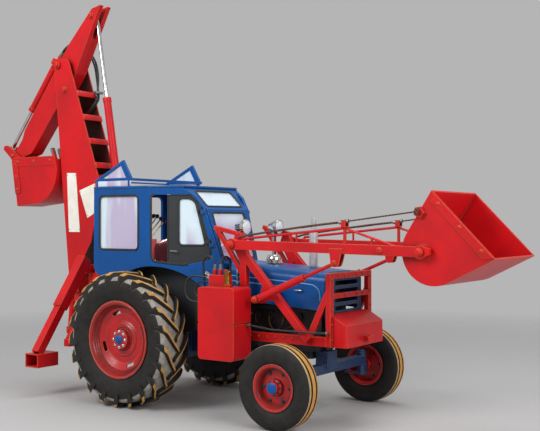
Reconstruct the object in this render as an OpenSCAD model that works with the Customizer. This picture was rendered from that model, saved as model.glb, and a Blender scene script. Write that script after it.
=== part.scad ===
// Backhoe loader on a farm-tractor base. Millimetres, +Z up, +X forward, +Y to the left.

/* [Wheels] */
// distance from rear axle to front axle
wheelbase = 1950; // [1850:10:2100]
// rear tyre diameter over the lugs
rear_tyre_d = 1410; // [1340:10:1460]
// rear tyre section width
rear_tyre_w = 360; // [320:10:380]
// rear rim diameter over the flanges
rear_rim_d = 810; // [760:10:860]
// distance between the rear tyre centres
rear_track = 1610; // [1600:10:1700]
// front tyre diameter
front_tyre_d = 800; // [740:10:840]
// front tyre section width
front_tyre_w = 200; // [180:5:220]
// front rim diameter over the flanges
front_rim_d = 440; // [400:10:480]
// distance between the front tyre centres
front_track = 1740; // [1700:10:1800]

/* [Cab] */
// half width of the cab at the rear
cab_half = 610; // [570:5:612]
// rear face of the cab, behind the rear axle
cab_rear_x = 680; // [620:10:720]
// height of the roof's top
roof_z = 2312; // [2200:10:2450]
// thickness of the cab walls
wall = 30; // [20:1:40]
// half width of the windscreen's foot
screen_half = 320; // [310:5:360]
// side window width
side_window_w = 570; // [400:10:600]
// side window height
side_window_h = 585; // [400:10:600]
// radius of the wheel arch
arch_r = 765; // [750:5:790]
// thickness of the glass
glass_t = 6; // [4:1:10]

/* [Bonnet] */
// half width of the bonnet
bonnet_half = 300; // [280:5:310]
// height of the bonnet's top at the rear
bonnet_z = 1515; // [1490:5:1530]
// fall of the bonnet's top toward the nose
bonnet_fall = 75; // [40:5:100]
// exhaust stack height above the bonnet
stack_h = 500; // [300:10:600]

/* [Loader] */
// height of the chassis rails
rail_h = 90; // [70:5:110]
// thickness of the rails, towers and legs across the machine
frame_t = 60; // [50:2:64]
// height of the arm pivot
arm_pivot_z = 1700; // [1680:5:1730]
// depth of the lift arms at the pivot
arm_depth = 92; // [80:2:100]
// thickness of the lift arms
arm_t = 60; // [50:2:64]
// half width of the loader bucket
bucket_half = 500; // [460:5:505]
// radius of the loader bucket's curved back
bucket_r = 302; // [280:2:310]
// lift ram barrel diameter
lift_ram_d = 72; // [60:2:76]
// tilt rope diameter
rope_d = 14; // [10:1:18]

/* [Backhoe] */
// distance from the rear axle back to the slew axis
slew_x = 1480; // [1460:5:1520]
// height of the boom pivot
boom_pivot_z = 1240; // [1220:5:1260]
// half width of the boom over its plates
boom_half = 150; // [140:2:165]
// thickness of the boom's side plates
boom_plate = 14; // [10:1:18]
// half width of the dipper
dipper_half = 90; // [70:2:100]
// half width of the digging bucket
dig_half = 200; // [150:5:260]
// dipper and bucket ram barrel diameter
ram_d = 92; // [80:2:100]
// ram rod diameter
rod_d = 46; // [40:2:56]
// boom ram barrel diameter
boom_ram_d = 96; // [84:2:104]
// stabiliser leg width
leg_w = 96; // [80:2:104]

/* [Fits] */
// running clearance on pins, rods and shafts
fit = 0.4; // [0.2:0.1:0.8]
// gap round glass
glass_fit = 0.3; // [0.2:0.1:0.8]
// gap between seated pieces
seat_gap = 0.3; // [0.2:0.1:0.6]

/* [Hidden] */
$fn = 48;
rear_r = rear_tyre_d / 2;
front_r = front_tyre_d / 2;
rear_y = rear_track / 2;
front_y = front_track / 2;
rail_in = 350;
rail_out = rail_in + 60;
rail_z = 735;
guard_x = 2190;
tower_y = rail_out + frame_t / 2 - 5;
arm_y = 550;
arm_pivot = [1190, arm_pivot_z];
arm_tip = [3244, arm_pivot_z - 37];
lift_base = [1480, arm_pivot_z - 535];
lift_eye = [2385, arm_pivot_z - 152];
// the lift rods' radius and the width of their eyes
lift_rod_r = 18;
lift_eye_w = 36;
lift_pin_r = 22;
guide = [2470, arm_pivot_z + 228];
bucket_c = arm_tip + [93, 2];
bucket_top = arm_tip + [78, 542];
bucket_lip = arm_tip + [660, -52];
bucket_t = 14;
rope_eye = arm_tip + [-39, 355];
wall_top = roof_z - 27;
bend_x = 120;
screen_foot = [890, 1490];
screen_mid = [710, wall_top - 225];
screen_top = [480, wall_top];
taper = atan2(cab_half - screen_half, screen_foot[0] - bend_x);
arch_c = [150, 690];
cab_foot = 1330;
floor_z = 1010;
boom_base = [-slew_x, boom_pivot_z];
boom_tip = boom_base + [-273, 2585];
boom_pin_r = 30;
tip_pin_r = 32;
dip_u = [0.6311, 0.7757];
dip_v = [-dip_u[1], dip_u[0]];
dig_pivot = boom_tip - 1373 * dip_u;
dip_ram_top = boom_tip + 749 * dip_u - 45 * dip_v;
dip_ram_base = boom_base + [555, 1230];
dig_ram_base = boom_tip - 64 * dip_u + 182 * dip_v;
dig_ram_eye = dig_pivot + [-134, 101];
boom_ram_base = boom_base + [-190, -630];
boom_ram_eye = boom_base + [-65, 710];
eye_w = 50;
hose_gap = 3 * seat_gap;
post_r = 60;
frame_x = -1215;
leg_top = [240, 1480];
leg_foot = [950, 470];
leg_run = leg_foot - leg_top;
leg_len = norm(leg_run);
leg_tilt = atan2(leg_run[1], leg_run[0]);
sleeve_len = 650;
sleeve_wall = 13;
mid_x = (bucket_lip[0] + dig_ram_eye[0] - 38) / 2;

function unit(v) = v / norm(v);
function turn(v, a) = [v[0] * cos(a) - v[1] * sin(a), v[0] * sin(a) + v[1] * cos(a)];
function heading(a, b) = atan2(b[1] - a[1], b[0] - a[0]);

// puts the machine's middle on the origin
module placed() {
    translate([-mid_x, 0, 0]) children();
}

// both hands of a right-hand piece
module both() {
    children();
    mirror([0, 1, 0]) children();
}

// flat plate of thickness t standing along the machine, centred on y
module plate(y, t) {
    translate([0, y + t / 2, 0]) rotate([90, 0, 0]) linear_extrude(t) children();
}

// pin or boss of radius r across the machine at p, from y0 to y1
module cross_pin(p, r, y0, y1) {
    translate([p[0], y1, p[1]]) rotate([90, 0, 0]) cylinder(h = y1 - y0, r = r);
}

// straight bar between two side-view points: w deep, t thick, centred on y
module bar(a, b, y, w, t) {
    translate([a[0], y, a[1]]) rotate([0, -heading(a, b), 0]) translate([0, -t / 2, -w / 2])
        cube([norm(b - a), t, w]);
}

// round rod between two points in space
module rod(a, b, r) {
    d = b - a;
    translate(a) rotate([0, acos(d[2] / norm(d)), atan2(d[1], d[0])]) cylinder(h = norm(d), r = r);
}

// local frame at a with its x axis pointing to b, in a side view at y
module along(a, b, y) {
    translate([a[0], y, a[1]]) rotate([0, -heading(a, b), 0]) children();
}

module round_rect(x0, z0, x1, z1, r) {
    translate([x0 + r, z0]) square([x1 - x0 - 2 * r, z1 - z0]);
    translate([x0, z0 + r]) square([x1 - x0, z1 - z0 - 2 * r]);
    for (p = [[x0 + r, z0 + r], [x1 - r, z0 + r], [x0 + r, z1 - r], [x1 - r, z1 - r]])
        translate(p) circle(r);
}

// smooth run through a list of points, k steps to a span
function at(p, i) = p[max(0, min(len(p) - 1, i))];
function blend(a, b, c, d, t) = 0.5 * (2 * b + (c - a) * t + (2 * a - 5 * b + 4 * c - d) * t * t
    + (3 * b - a - 3 * c + d) * t * t * t);
function smooth(p, k) = [for (i = [0 : len(p) - 2]) for (j = [0 : i == len(p) - 2 ? k : k - 1])
    blend(at(p, i - 1), p[i], p[i + 1], at(p, i + 2), j / k)];

// hose of radius r along a smooth run, with n sides
module hose(pts, r, n = 8) {
    run = smooth(pts, 4);
    last = len(run) - 1;
    rings = [for (i = [0 : last]) let (
            d = i == 0 ? unit(pts[1] - pts[0]) : i == last ? unit(pts[len(pts) - 1] - pts[len(pts) - 2]) : unit(at(run, i + 1) - at(run, i - 1)),
            u = unit(cross(d, [0.31, 0.87, 0.38])), v = cross(d, u))
        for (j = [0 : n - 1]) run[i] + r * (cos(j * 360 / n) * u + sin(j * 360 / n) * v)];
    sides = [for (i = [0 : last - 1]) for (j = [0 : n - 1]) [i * n + j, i * n + (j + 1) % n, (i + 1) * n + (j + 1) % n, (i + 1) * n + j]];
    polyhedron(rings, concat([[for (j = [0 : n - 1]) n - 1 - j]], sides, [[for (j = [0 : n - 1]) last * n + j]]));
}

// wheels, drawn about Z with the outer face up
module wheel_place(x, y, z) {
    translate([x, -y, z]) rotate([90, 0, 0]) children();
}

// tyre section seated on a rim of radius rim, its well drop deep
module tyre_ring(ro, rim, drop, w) {
    h = ro - rim;
    half = [[rim - drop + seat_gap, 0.38 * w - seat_gap], [rim + 4, 0.38 * w - seat_gap], [rim + 0.16 * h, 0.46 * w],
        [rim + 0.45 * h, 0.5 * w], [rim + 0.72 * h, 0.48 * w], [ro - 0.08 * h, 0.42 * w], [ro, 0.3 * w]];
    n = len(half) - 1;
    rotate_extrude() polygon(concat([for (i = [0 : n]) [half[i][0], -half[i][1]]], [for (i = [0 : n]) half[n - i]]));
}

module rear_tyre() {
    color("#1d1d1f") tyre_ring(rear_r, rear_rim_d / 2, 25, rear_tyre_w);
}

module rear_wheel() {
    rr = rear_rim_d / 2;
    hw = rear_tyre_w * 0.38;
    color("#c8322b") difference() {
        rotate_extrude() polygon([
            [0, -rear_y + 520], [45 - fit, -rear_y + 520], [45 - fit, -rear_y + 604], [120, -rear_y + 604],
            [120, 0], [190, 20], [250, 20], [rr - 90, 60], [rr - 60, -hw + 20], [rr - 40, -hw - 4],
            [rr, -hw - 14], [rr, -hw], [rr - 25, -hw], [rr - 25, hw], [rr, hw], [rr, hw + 14],
            [rr - 40, hw + 4], [rr - 52, hw - 20], [rr - 76, 80], [250, 40], [190, 40], [150, 60],
            [110, 64], [100, 110], [60, 122], [0, 122]]);
        for (i = [0 : 3]) rotate([0, 0, i * 90 + 20]) translate([rr - 125, 0, -hw])
            linear_extrude(2 * hw) round_rect(-18, -55, 18, 55, 17);
    }
}

module front_tyre() {
    color("#1d1d1f") difference() {
        tyre_ring(front_r, front_rim_d / 2, 20, front_tyre_w);
        for (z = [-38, 38]) rotate_extrude() translate([front_r - 16, z - 11]) square([30, 22]);
    }
}

module front_wheel() {
    rr = front_rim_d / 2;
    hw = front_tyre_w * 0.38;
    color("#c8322b") difference() {
        rotate_extrude() polygon([
            [28 + fit, -80], [58, -80], [64, -10], [rr - 50, 4], [rr - 36, -hw + 10], [rr - 30, -hw - 4],
            [rr, -hw - 12], [rr, -hw], [rr - 20, -hw], [rr - 20, hw], [rr, hw], [rr, hw + 12],
            [rr - 30, hw + 4], [rr - 42, hw - 14], [rr - 56, 18], [86, 22], [74, 54], [62, 58],
            [54, 100], [36, 108], [28 + fit, 108]]);
        for (i = [0 : 5]) rotate([0, 0, i * 60]) translate([rr - 80, 0, -5]) cylinder(h = 40, r = 14);
    }
}

module knuckle() {
    color("#2a4f96") translate([wheelbase, 0, front_r]) {
        translate([0, -front_y + 150, -70]) cylinder(h = 215, r = 24 - fit);
        translate([0, -front_y + 150, 145]) cylinder(h = 22, r = 40);
        translate([0, -front_y + 150, -96]) cylinder(h = 26, r = 44);
        translate([-38, -front_y + 92, -96]) cube([76, 66, 114]);
        rotate([90, 0, 0]) translate([0, 0, front_y - 94]) cylinder(h = 194, r = 28);
        translate([-190, -front_y + 128, -92]) cube([160, 44, 22]);
    }
}

module bell_house(gap) {
    translate([780, 0, 770]) rotate([0, 90, 0]) cylinder(h = 330, r = 240 + gap);
}

module transmission() {
    color("#31558f") {
        difference() {
            union() {
                translate([-270, -220, 470]) cube([620, 440, 540]);
                rotate([90, 0, 0]) translate([0, rear_r, -600]) cylinder(h = 1200, r = 92);
                both() translate([0, -215, rear_r]) rotate([90, 0, 0]) cylinder(h = 60, r = 150);
                both() translate([0, -560, rear_r]) rotate([90, 0, 0]) cylinder(h = 40, r = 125);
                translate([340, -170, 530]) cube([450, 340, 470]);
                bell_house(0);
            }
            rotate([90, 0, 0]) translate([0, rear_r, -700]) cylinder(h = 1400, r = 45);
        }
        translate([-330, -60, 520]) cube([80, 120, 90]);
    }
}

module engine() {
    color("#34373c") {
        translate([1110, -150, 640]) cube([840, 300, 480]);
        translate([1120, -110, 1120]) cube([800, 220, 130]);
        translate([1160, -120, 560]) cube([wheelbase - 1250, 240, 80]);
        translate([1180, -185, 1040]) cube([640, 35, 60]);
        both() for (i = [0 : 3]) translate([1230 + i * 170, -150, 980]) rotate([90, 0, 0]) cylinder(h = 30, r = 34);
        translate([1300, -225, 720]) rotate([0, 90, 0]) cylinder(h = 330, r = 60);
        translate([1300, -170, 690]) cube([330, 30, 60]);
        translate([1480, 150, 760]) cube([240, 90, 180]);
        translate([1950, -240, 820]) cube([90, 480, 560]);
        translate([1950, -60, 640]) cube([40, 120, 180]);
    }
}

module bonnet_section(inset) {
    difference() {
        round_rect(-bonnet_half + inset, 900 + inset, bonnet_half - inset, bonnet_z - inset, 110 - inset);
        translate([-2 * bonnet_half, 0]) square([4 * bonnet_half, 1135 + inset * 0]);
    }
}

module bonnet() {
    len_b = 1150;
    tilt = atan2(bonnet_fall, len_b);
    color("#3b6fc4") difference() {
        intersection() {
            translate([960, 0, bonnet_z]) rotate([0, tilt, 0]) translate([-40, 0, -bonnet_z])
                rotate([90, 0, 90]) linear_extrude(len_b + 120) difference() {
                    bonnet_section(0);
                    round_rect(-bonnet_half + 12, 800, bonnet_half - 12, bonnet_z - 12, 98);
                }
            translate([960, -400, 1000]) cube([len_b, 800, 700]);
        }
        translate([1800, 0, 1300]) cylinder(h = 300, r = 44);
        translate([1320, 0, 1300]) cylinder(h = 300, r = 30);
    }
}

module nose_cowl() {
    nose_z = bonnet_z - bonnet_fall;
    color("#23477f") difference() {
        translate([2110, 0, 0]) rotate([90, 0, 90]) linear_extrude(75)
            round_rect(-bonnet_half + 8, 850, bonnet_half - 8, nose_z - 2, 90);
        translate([2100, 0, 0]) rotate([90, 0, 90]) linear_extrude(55)
            round_rect(-bonnet_half + 30, 872, bonnet_half - 30, nose_z - 24, 70);
        for (i = [0 : 5]) translate([2100, 0, 0]) rotate([90, 0, 90]) linear_extrude(100)
            round_rect(-225, 900 + i * 82, 225, 944 + i * 82, 12);
    }
}

module stacks() {
    top = bonnet_z - 0.06 * 840;
    color("#b9bcc2") {
        translate([1800, 0, 1250]) cylinder(h = top - 1250 + 130, r = 26);
        translate([1800, 0, top + 10]) cylinder(h = 0.8 * stack_h - 30, r = 42);
        translate([1800, 0, top - 20 + 0.8 * stack_h]) cylinder(h = 0.2 * stack_h + 20, r = 26);
        translate([1320, 0, 1250]) cylinder(h = bonnet_z - 1250 + 10, r = 29);
        translate([1320, 0, bonnet_z - 14]) cylinder(h = 24, r = 70);
        translate([1320, 0, bonnet_z + 10]) intersection() {
            scale(1) sphere(84);
            translate([-100, -100, 0]) cube([200, 200, 60]);
        }
    }
}

module front_axle() {
    color("#2a4f96") {
        difference() {
            union() {
                translate([wheelbase - 50, -front_y + 150, front_r + 20]) cube([100, 2 * front_y - 300, 90]);
                both() translate([wheelbase, -front_y + 150, front_r + 25]) cylinder(h = 119, r = 52);
            }
            both() translate([wheelbase, -front_y + 150, 0]) cylinder(h = 900, r = 24);
        }
        translate([wheelbase - 70, -90, front_r + 60]) cube([140, 180, 180]);
        difference() {
            both() rod([wheelbase - 30, -420, front_r + 70], [1000, -150, 620], 26);
            bell_house(seat_gap);
        }
    }
}

module loader_frame() {
    color("#c8322b") both() {
        difference() {
            union() {
                translate([880, -rail_out, rail_z]) cube([guard_x - 880, rail_out - rail_in, rail_h]);
                translate([1218, -tower_y - frame_t / 2, rail_z]) cube([74, frame_t, arm_pivot_z - rail_z - 80]);
                bar([1243, arm_pivot_z - 90], [2016, 790], -tower_y, 74, frame_t - 2);
                plate(-tower_y, frame_t) polygon([[1218, arm_pivot_z - 180], [1330, arm_pivot_z - 180],
                    [1262, arm_pivot_z + 20], [1225, arm_pivot_z + 118], [1160, arm_pivot_z + 118], [1120, arm_pivot_z]]);
                plate(-tower_y, frame_t) polygon([lift_base + [-24, 16], lift_base + [-10, -30], lift_base + [24, -28],
                    lift_base + [190, 0], lift_base + [30, 180]]);
                cross_pin(lift_base, 45, -tower_y - frame_t / 2, -tower_y + frame_t / 2);
                bar([1236, 1400], [903, arm_pivot_z + 168], -tower_y, 44, 40);
                bar([880, arm_pivot_z + 168], [1200, arm_pivot_z + 100], -tower_y, 44, 36);
                difference() {
                    translate([900, -rail_in - 5, rail_z + 8]) cube([120, 10 + rail_in - 140, rail_h - 16]);
                    bell_house(seat_gap);
                }
                cross_pin(arm_pivot, 45, -arm_y + arm_t / 2 + 5, -tower_y);
                cross_pin(arm_pivot, 30, -arm_y - arm_t / 2 - 20, -tower_y);
                cross_pin(arm_pivot, 42, -arm_y - arm_t / 2 - 20, -arm_y - arm_t / 2 - 6);
                cross_pin(lift_base, lift_pin_r, -arm_y - eye_w / 2 - 20, -tower_y);
                cross_pin(lift_base, 34, -arm_y - eye_w / 2 - 20, -arm_y - eye_w / 2 - 5);
            }
        }
        difference() {
            bar([1990, 800], [2226, 1287], -rail_out + 25, 60, 40);
            translate([guard_x - seat_gap, -600, 0]) cube([200, 400, 2000]);
        }
    }
}

module front_guard() {
    color("#c8322b") {
        both() translate([guard_x, -410, rail_z]) cube([50, 64, 700]);
        translate([guard_x + 2, -400, 1380]) cube([44, 800, 55]);
        translate([guard_x + 2, -400, 1190]) cube([44, 800, 50]);
        difference() {
            plate(0, 740) polygon([[guard_x, rail_z - 5], [guard_x + 206, rail_z - 5], [guard_x + 200, 940], [guard_x + 25, 1042], [guard_x, 1042]]);
            both() translate([2200, -430, 600]) rotate([0, 0, 20]) translate([0, -200, 0]) cube([400, 200, 600]);
        }
        translate([2150, -rail_in, rail_z]) cube([60, 2 * rail_in, rail_h - 1]);
        translate([2380, 0, rail_z + 60]) difference() {
            translate([0, -45, -25]) cube([75, 90, 50]);
            translate([45, 0, -40]) cylinder(h = 80, r = 17);
        }
    }
}

module oil_tanks() {
    color("#c8322b") both() {
        difference() {
            translate([0, -484, 0]) rotate([90, 0, 0]) linear_extrude(290)
                round_rect(925, 565, 1367, 1282, 40);
            for (x = [880, 1350]) translate([x, -790, 920]) cube([60, 320, 10]);
        }
        translate([1000, -490, 745]) cube([200, 490 - rail_out, 60]);
        translate([1230, -690, 1270]) cylinder(h = 40, r = 42);
        translate([960, -640, 1275]) cube([210, 110, 120]);
        for (i = [0 : 2]) translate([995 + i * 70, -585, 1390]) cylinder(h = 60, r = 22);
    }
}

module pipework() {
    color("#17181a") {
        hose([[995, -585, 1450 + hose_gap], [995, -585, 1480], [980, -590, 1515], [935, -570, 1535], [903, -530, 1480],
            [903, -524, 1300], [903, -524, 920], [905, -490, 800], [905, -450, 780], [905, -rail_out - hose_gap, 780]], 14);
        hose([[1065, -585, 1450 + hose_gap], [1065, -585, 1480], [1073, -588, 1525], [1115, -565, 1565], [1158, -505, 1500],
            [1165, -475, 1330], [1162, -390, 1120], [1160, -300, 1020], [1160, -200, 985], [1160, -150 - hose_gap, 985]], 14);
        hose([[1367 + hose_gap, -560, 905], [1400, -560, 905], [1460, -550, 885], [1550, -500, 872], [1900, -492, 872],
            [2100, -485, 872], [2190, -475, 872], [guard_x + 25, -445, 872], [guard_x + 25, -410 - hose_gap, 872]], 15);
    }
}

module arch_cut() {
    translate(arch_c) circle(arch_r, $fn = 180);
}

module side_window(inset) {
    round_rect(-594 + inset, wall_top - 75 - side_window_h + inset, -594 + side_window_w - inset, wall_top - 75 - inset, 55 - inset);
}

// side-view outline on the tapering front wall: distance from the bend, height
module taper_frame() {
    translate([bend_x, -cab_half, 0]) rotate([0, 0, taper]) rotate([90, 0, 0]) translate([0, 0, -wall]) children();
}

function along_wall(x) = (x - bend_x) / cos(taper);

module taper_outline() {
    polygon([[0, 1300], [along_wall(700), 960], [along_wall(905), 960], [along_wall(905), 1400],
        [along_wall(screen_foot[0]), screen_foot[1]], [along_wall(screen_mid[0]), screen_mid[1]],
        [along_wall(620), wall_top - 90], [along_wall(screen_top[0]), screen_top[1]], [0, wall_top]]);
}

door_front_foot = [709, 1602];
door_front_head = [562, 2133];
door_rear_s = 213;

module doorway_outline() {
    polygon([[32, 1570], [60, 1507], [396, 1474], [676, 1526], door_front_foot, door_front_head, [470, wall_top - 70], [32, wall_top - 70]]);
}

module door_outline() {
    polygon([[door_rear_s, 1498], [396, 1480], [670, 1532], door_front_foot - [6, 0],
        door_front_head - [6, 2], [466, wall_top - 76], [door_rear_s, wall_top - 76]]);
}

module door_window(inset) {
    polygon([[339 + inset, 1680 + inset], [640 - inset * 1.6, 1680 + inset], [530 - inset * 1.6, 2128 - inset], [470, wall_top - 110 - inset], [339 + inset, wall_top - 110 - inset]]);
}

// hinge line of a door, standing along the sloping pillar just outside the wall
module hinge_frame() {
    run = door_front_head - door_front_foot;
    taper_frame() translate([door_front_foot[0] + 4, door_front_foot[1], wall + 13]) rotate([0, 0, heading([0, 0], run) - 90])
        rotate([-90, 0, 0]) children();
}

module cab_sides() {
    color("#3b6fc4") both() difference() {
        union() {
            plate(-cab_half + wall / 2, wall) difference() {
                union() {
                    round_rect(-cab_rear_x, cab_foot, bend_x - 200, wall_top - 200, 120);
                    translate([-cab_rear_x, cab_foot + 300]) square([bend_x + cab_rear_x, wall_top - cab_foot - 300]);
                    translate([-300, cab_foot]) square([bend_x + 300, 500]);
                }
                side_window(0);
            }
            taper_frame() linear_extrude(wall) difference() {
                taper_outline();
                doorway_outline();
            }
            for (z = [60, 420]) hinge_frame() translate([0, 0, z]) difference() {
                union() {
                    cylinder(h = 40, r = 12);
                    cube([40, 14, 40]);
                }
                translate([0, 0, -1]) cylinder(h = 42, r = 7 + fit);
            }
        }
        plate(-cab_half, 1000) arch_cut();
    }
}

module door() {
    color("#3a3d44") {
        taper_frame() translate([0, 0, 5]) linear_extrude(wall - 10) difference() {
            door_outline();
            door_window(0);
        }
        for (z = [60, 420]) hinge_frame() translate([0, 0, z]) {
            translate([0, 0, 1]) cylinder(h = 78, r = 7);
            translate([0, 0, 41]) cylinder(h = 38, r = 12);
            translate([-46, 0, 41]) cube([38, 20, 38]);
        }
    }
}

module door_pane() {
    color("#a9c6e8") taper_frame() translate([0, 0, wall / 2 - glass_t / 2]) linear_extrude(glass_t) door_window(glass_fit);
}

// plan wedge between the inner faces of the tapering walls
module wedge(inset) {
    y0 = cab_half - wall / cos(taper) - inset;
    linear_extrude(3000) polygon([[bend_x, y0], [bend_x + 1000, y0 - 1000 * tan(taper)], [bend_x + 1000, -y0 + 1000 * tan(taper)], [bend_x, -y0]]);
}

module screen_band(back, t) {
    plate(0, 1400) polygon([screen_foot - [back, 0], screen_mid - [back, 0], screen_top - [back, 0],
        screen_top - [back + t, 0], screen_mid - [back + t, 8], screen_foot - [back + t, 0]]);
}

module screen_cut(inset) {
    x0 = screen_half - 40;
    rotate([90, 0, 90]) linear_extrude(1400) {
        round_rect(-x0 + inset, screen_foot[1] + 50 + inset, x0 - inset, screen_mid[1] - 35 - inset, 35 - inset);
        round_rect(-x0 - 30 + inset, screen_mid[1] + 30 + inset, x0 + 30 - inset, wall_top - 30 - inset, 25 - inset);
    }
}

module cab_front() {
    color("#3b6fc4") {
        difference() {
            intersection() {
                screen_band(0, wall);
                wedge(0);
            }
            screen_cut(0);
        }
        intersection() {
            translate([screen_foot[0] - wall, -500, 1036]) cube([wall, 1000, screen_foot[1] - 1036]);
            wedge(0);
        }
    }
}

module cab_glass() {
    color("#a9c6e8") {
        both() plate(-cab_half + wall / 2, glass_t) side_window(glass_fit);
        intersection() {
            screen_band(wall / 2 - glass_t / 2, glass_t);
            screen_cut(glass_fit);
        }
        both() plate(-cab_half + 22, glass_t) screen_triangle(31);
    }
}

module cab_roof() {
    y1 = cab_half - (screen_top[0] - bend_x) * tan(taper);
    color("#3b6fc4") translate([0, 0, wall_top + 0.1]) linear_extrude(roof_z - wall_top - 0.1)
        polygon([[-cab_rear_x, -cab_half], [bend_x, -cab_half], [screen_top[0], -y1], [screen_top[0], y1], [bend_x, cab_half], [-cab_rear_x, cab_half]]);
}

module cab_rear() {
    inner = cab_half - wall;
    color("#3b6fc4") translate([-cab_rear_x, 0, 0]) rotate([90, 0, 90]) linear_extrude(wall) difference() {
        union() {
            translate([-inner, cab_foot + 130]) square([2 * inner, wall_top - cab_foot - 130]);
            translate([-380, floor_z + 26]) square([760, 600]);
        }
        round_rect(-inner + 70, cab_foot + 190, inner - 70, wall_top - 70, 60);
    }
}

module screen_triangle(inset) {
    a = [-690, roof_z + 62];
    b = [-250, roof_z + 285];
    c = [-118, roof_z + 62];
    m = (a + b + c) / 3;
    k = 1 - inset / 78;
    polygon([m + k * (a - m), m + k * (b - m), m + k * (c - m)]);
}

module roof_screens() {
    color("#3b6fc4") {
        both() {
            plate(-cab_half + 22, 24) difference() {
                screen_triangle(0);
                screen_triangle(30);
            }
            for (x = [-640, -170]) translate([x - 14, -cab_half + 10, roof_z]) cube([28, 24, 70]);
        }
        translate([-142, -cab_half + 10, roof_z + 60]) cube([24, 2 * cab_half - 20, 26]);
        translate([-690, -cab_half + 10, roof_z + 60]) cube([30, 2 * cab_half - 20, 16]);
    }
}

// plan of the cab's inside, drawn in by inset
module cab_plan(inset) {
    y0 = cab_half - wall - inset;
    y1 = cab_half - wall / cos(taper) - inset;
    linear_extrude(3000) polygon([[-cab_rear_x - 200, y0], [bend_x - 20, y0], [bend_x, y1], [bend_x + 1000, y1 - 1000 * tan(taper)],
        [bend_x + 1000, -y1 + 1000 * tan(taper)], [bend_x, -y1], [bend_x - 20, -y0], [-cab_rear_x - 200, -y0]]);
}

module mudguards() {
    color("#26282c") intersection() {
        union() {
            both() {
                translate([arch_c[0], -390, arch_c[1]]) rotate([90, 0, 0]) rotate([0, 0, 12]) rotate_extrude(angle = 124, $fn = 180)
                    translate([arch_r + seat_gap, 0]) square([14, 300]);
                plate(-392, 16) intersection() {
                    difference() {
                        translate(arch_c) circle(arch_r + 10, $fn = 180);
                        translate(arch_c) circle(290);
                    }
                    polygon([arch_c, arch_c + 2000 * [cos(12), sin(12)], arch_c + [2000 * cos(12), 2000], arch_c + [2000 * cos(136), 2000], arch_c + 2000 * [cos(136), sin(136)]]);
                }
            }
            translate([-cab_rear_x + wall, -386, floor_z]) cube([screen_foot[0] - 2 * wall + cab_rear_x, 772, 26]);
        }
        cab_plan(seat_gap);
    }
}

module seat() {
    color("#a52b24") {
        translate([-460, -250, 1310]) cube([400, 500, 90]);
        translate([-150, -240, 1400]) cube([80, 480, 330]);
        translate([-330, -60, floor_z + 26]) cube([140, 120, 1310 - floor_z - 26]);
    }
}

module lever_console() {
    color("#8c3a2e") {
        translate([-600, -230, floor_z + 26]) cube([110, 460, 690]);
        for (i = [0 : 4]) translate([-550, -160 + i * 80, 1720]) {
            translate([0, 0, -10]) cylinder(h = 230, r = 8);
            translate([0, 0, 228]) sphere(22);
        }
    }
}

module steering_column() {
    color("#26282c") {
        rod([791, 0, floor_z + 40], [560, 0, 1560], 24);
        translate([560, 0, 1560]) rotate([0, -24, 0]) {
            rotate_extrude() translate([190, 0]) circle(13);
            for (i = [0 : 2]) rotate([0, 0, i * 120]) translate([0, -9, -6]) cube([190, 18, 12]);
            translate([0, 0, -20]) cylinder(h = 40, r = 36);
        }
        translate([740, -230, 1200]) cube([screen_foot[0] - wall - 740, 460, 250]);
    }
}

module headlamps() {
    color("#c9ccd2") both() {
        translate([1150, -300, arm_pivot_z + 172]) rotate([0, 90, 0]) cylinder(h = 30, r = 78);
        translate([1060, -300, arm_pivot_z + 172]) rotate([0, 90, 0]) cylinder(h = 90, r1 = 40, r2 = 74);
        translate([1085, -bonnet_half - 40, bonnet_z - 230]) cube([30, 40, arm_pivot_z + 140 - bonnet_z + 230]);
    }
}

module loader_arm() {
    difference() {
        union() {
            plate(-arm_y, arm_t) polygon([[1130, arm_pivot[1] + arm_depth / 2], [1130, arm_pivot[1] - arm_depth / 2],
                [3290, arm_tip[1] - 46], [3330, arm_tip[1] - 20], [3330, arm_tip[1] + 30], [3290, arm_tip[1] + 48]]);
            for (y = [-arm_y - 34, -arm_y + 34]) plate(y, 12) polygon([for (q = [[-55, 132], [85, 132], [55, 12],
                [39, -30], [15, -40], [-13, -40], [-35, -20], [-39, 12]]) lift_eye + q]);
            cross_pin(arm_pivot, 62, -arm_y - arm_t / 2, -arm_y + arm_t / 2);
            cross_pin(arm_tip, 62, -arm_y - arm_t / 2, -arm_y + arm_t / 2);
            translate([2467, -arm_y - 12, arm_pivot_z + 10]) cube([24, 24, 180]);
            for (y = [-arm_y - 34, -arm_y + 26]) translate([guide[0] - 16, y, guide[1] - 45]) cube([48, 8, 62]);
            translate([guide[0] - 16, -arm_y - 34, guide[1] - 52]) cube([48, 68, 10]);
            rod([1345, -arm_y, arm_pivot_z + 60], [2475, -arm_y, arm_pivot_z + 172], 13);
            rod([1352, -arm_y, arm_pivot_z + 64], [1300, -arm_y, arm_pivot_z + 10], 11);
            rod([2479, -arm_y, arm_pivot_z + 168], [3050, -arm_y, arm_pivot_z - 10], 12);
            rod([1950, -arm_y, arm_pivot_z], [1950, -arm_y, arm_pivot_z + 120], 11);
            rod([2760, -arm_y, arm_pivot_z - 10], [2760, -arm_y, arm_pivot_z + 82], 11);
        }
        translate([lift_eye[0] - 105, -arm_y - lift_eye_w / 2 - 5, lift_eye[1] + 40]) cube([155, lift_eye_w + 10, 76]);
        cross_pin(arm_pivot, 30 + fit, -arm_y - 100, -arm_y + 100);
        cross_pin(arm_tip, 28 + fit, -arm_y - 100, -arm_y + 100);
        cross_pin(guide, 8 + fit, -arm_y - 100, -arm_y + 100);
    }
}

module loader_arms() {
    color("#c8322b") {
        both() loader_arm();
        translate([2850, arm_y - 20, arm_pivot_z - 30]) rotate([90, 0, 0]) cylinder(h = 2 * arm_y - 40, r = 30);
    }
}

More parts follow.
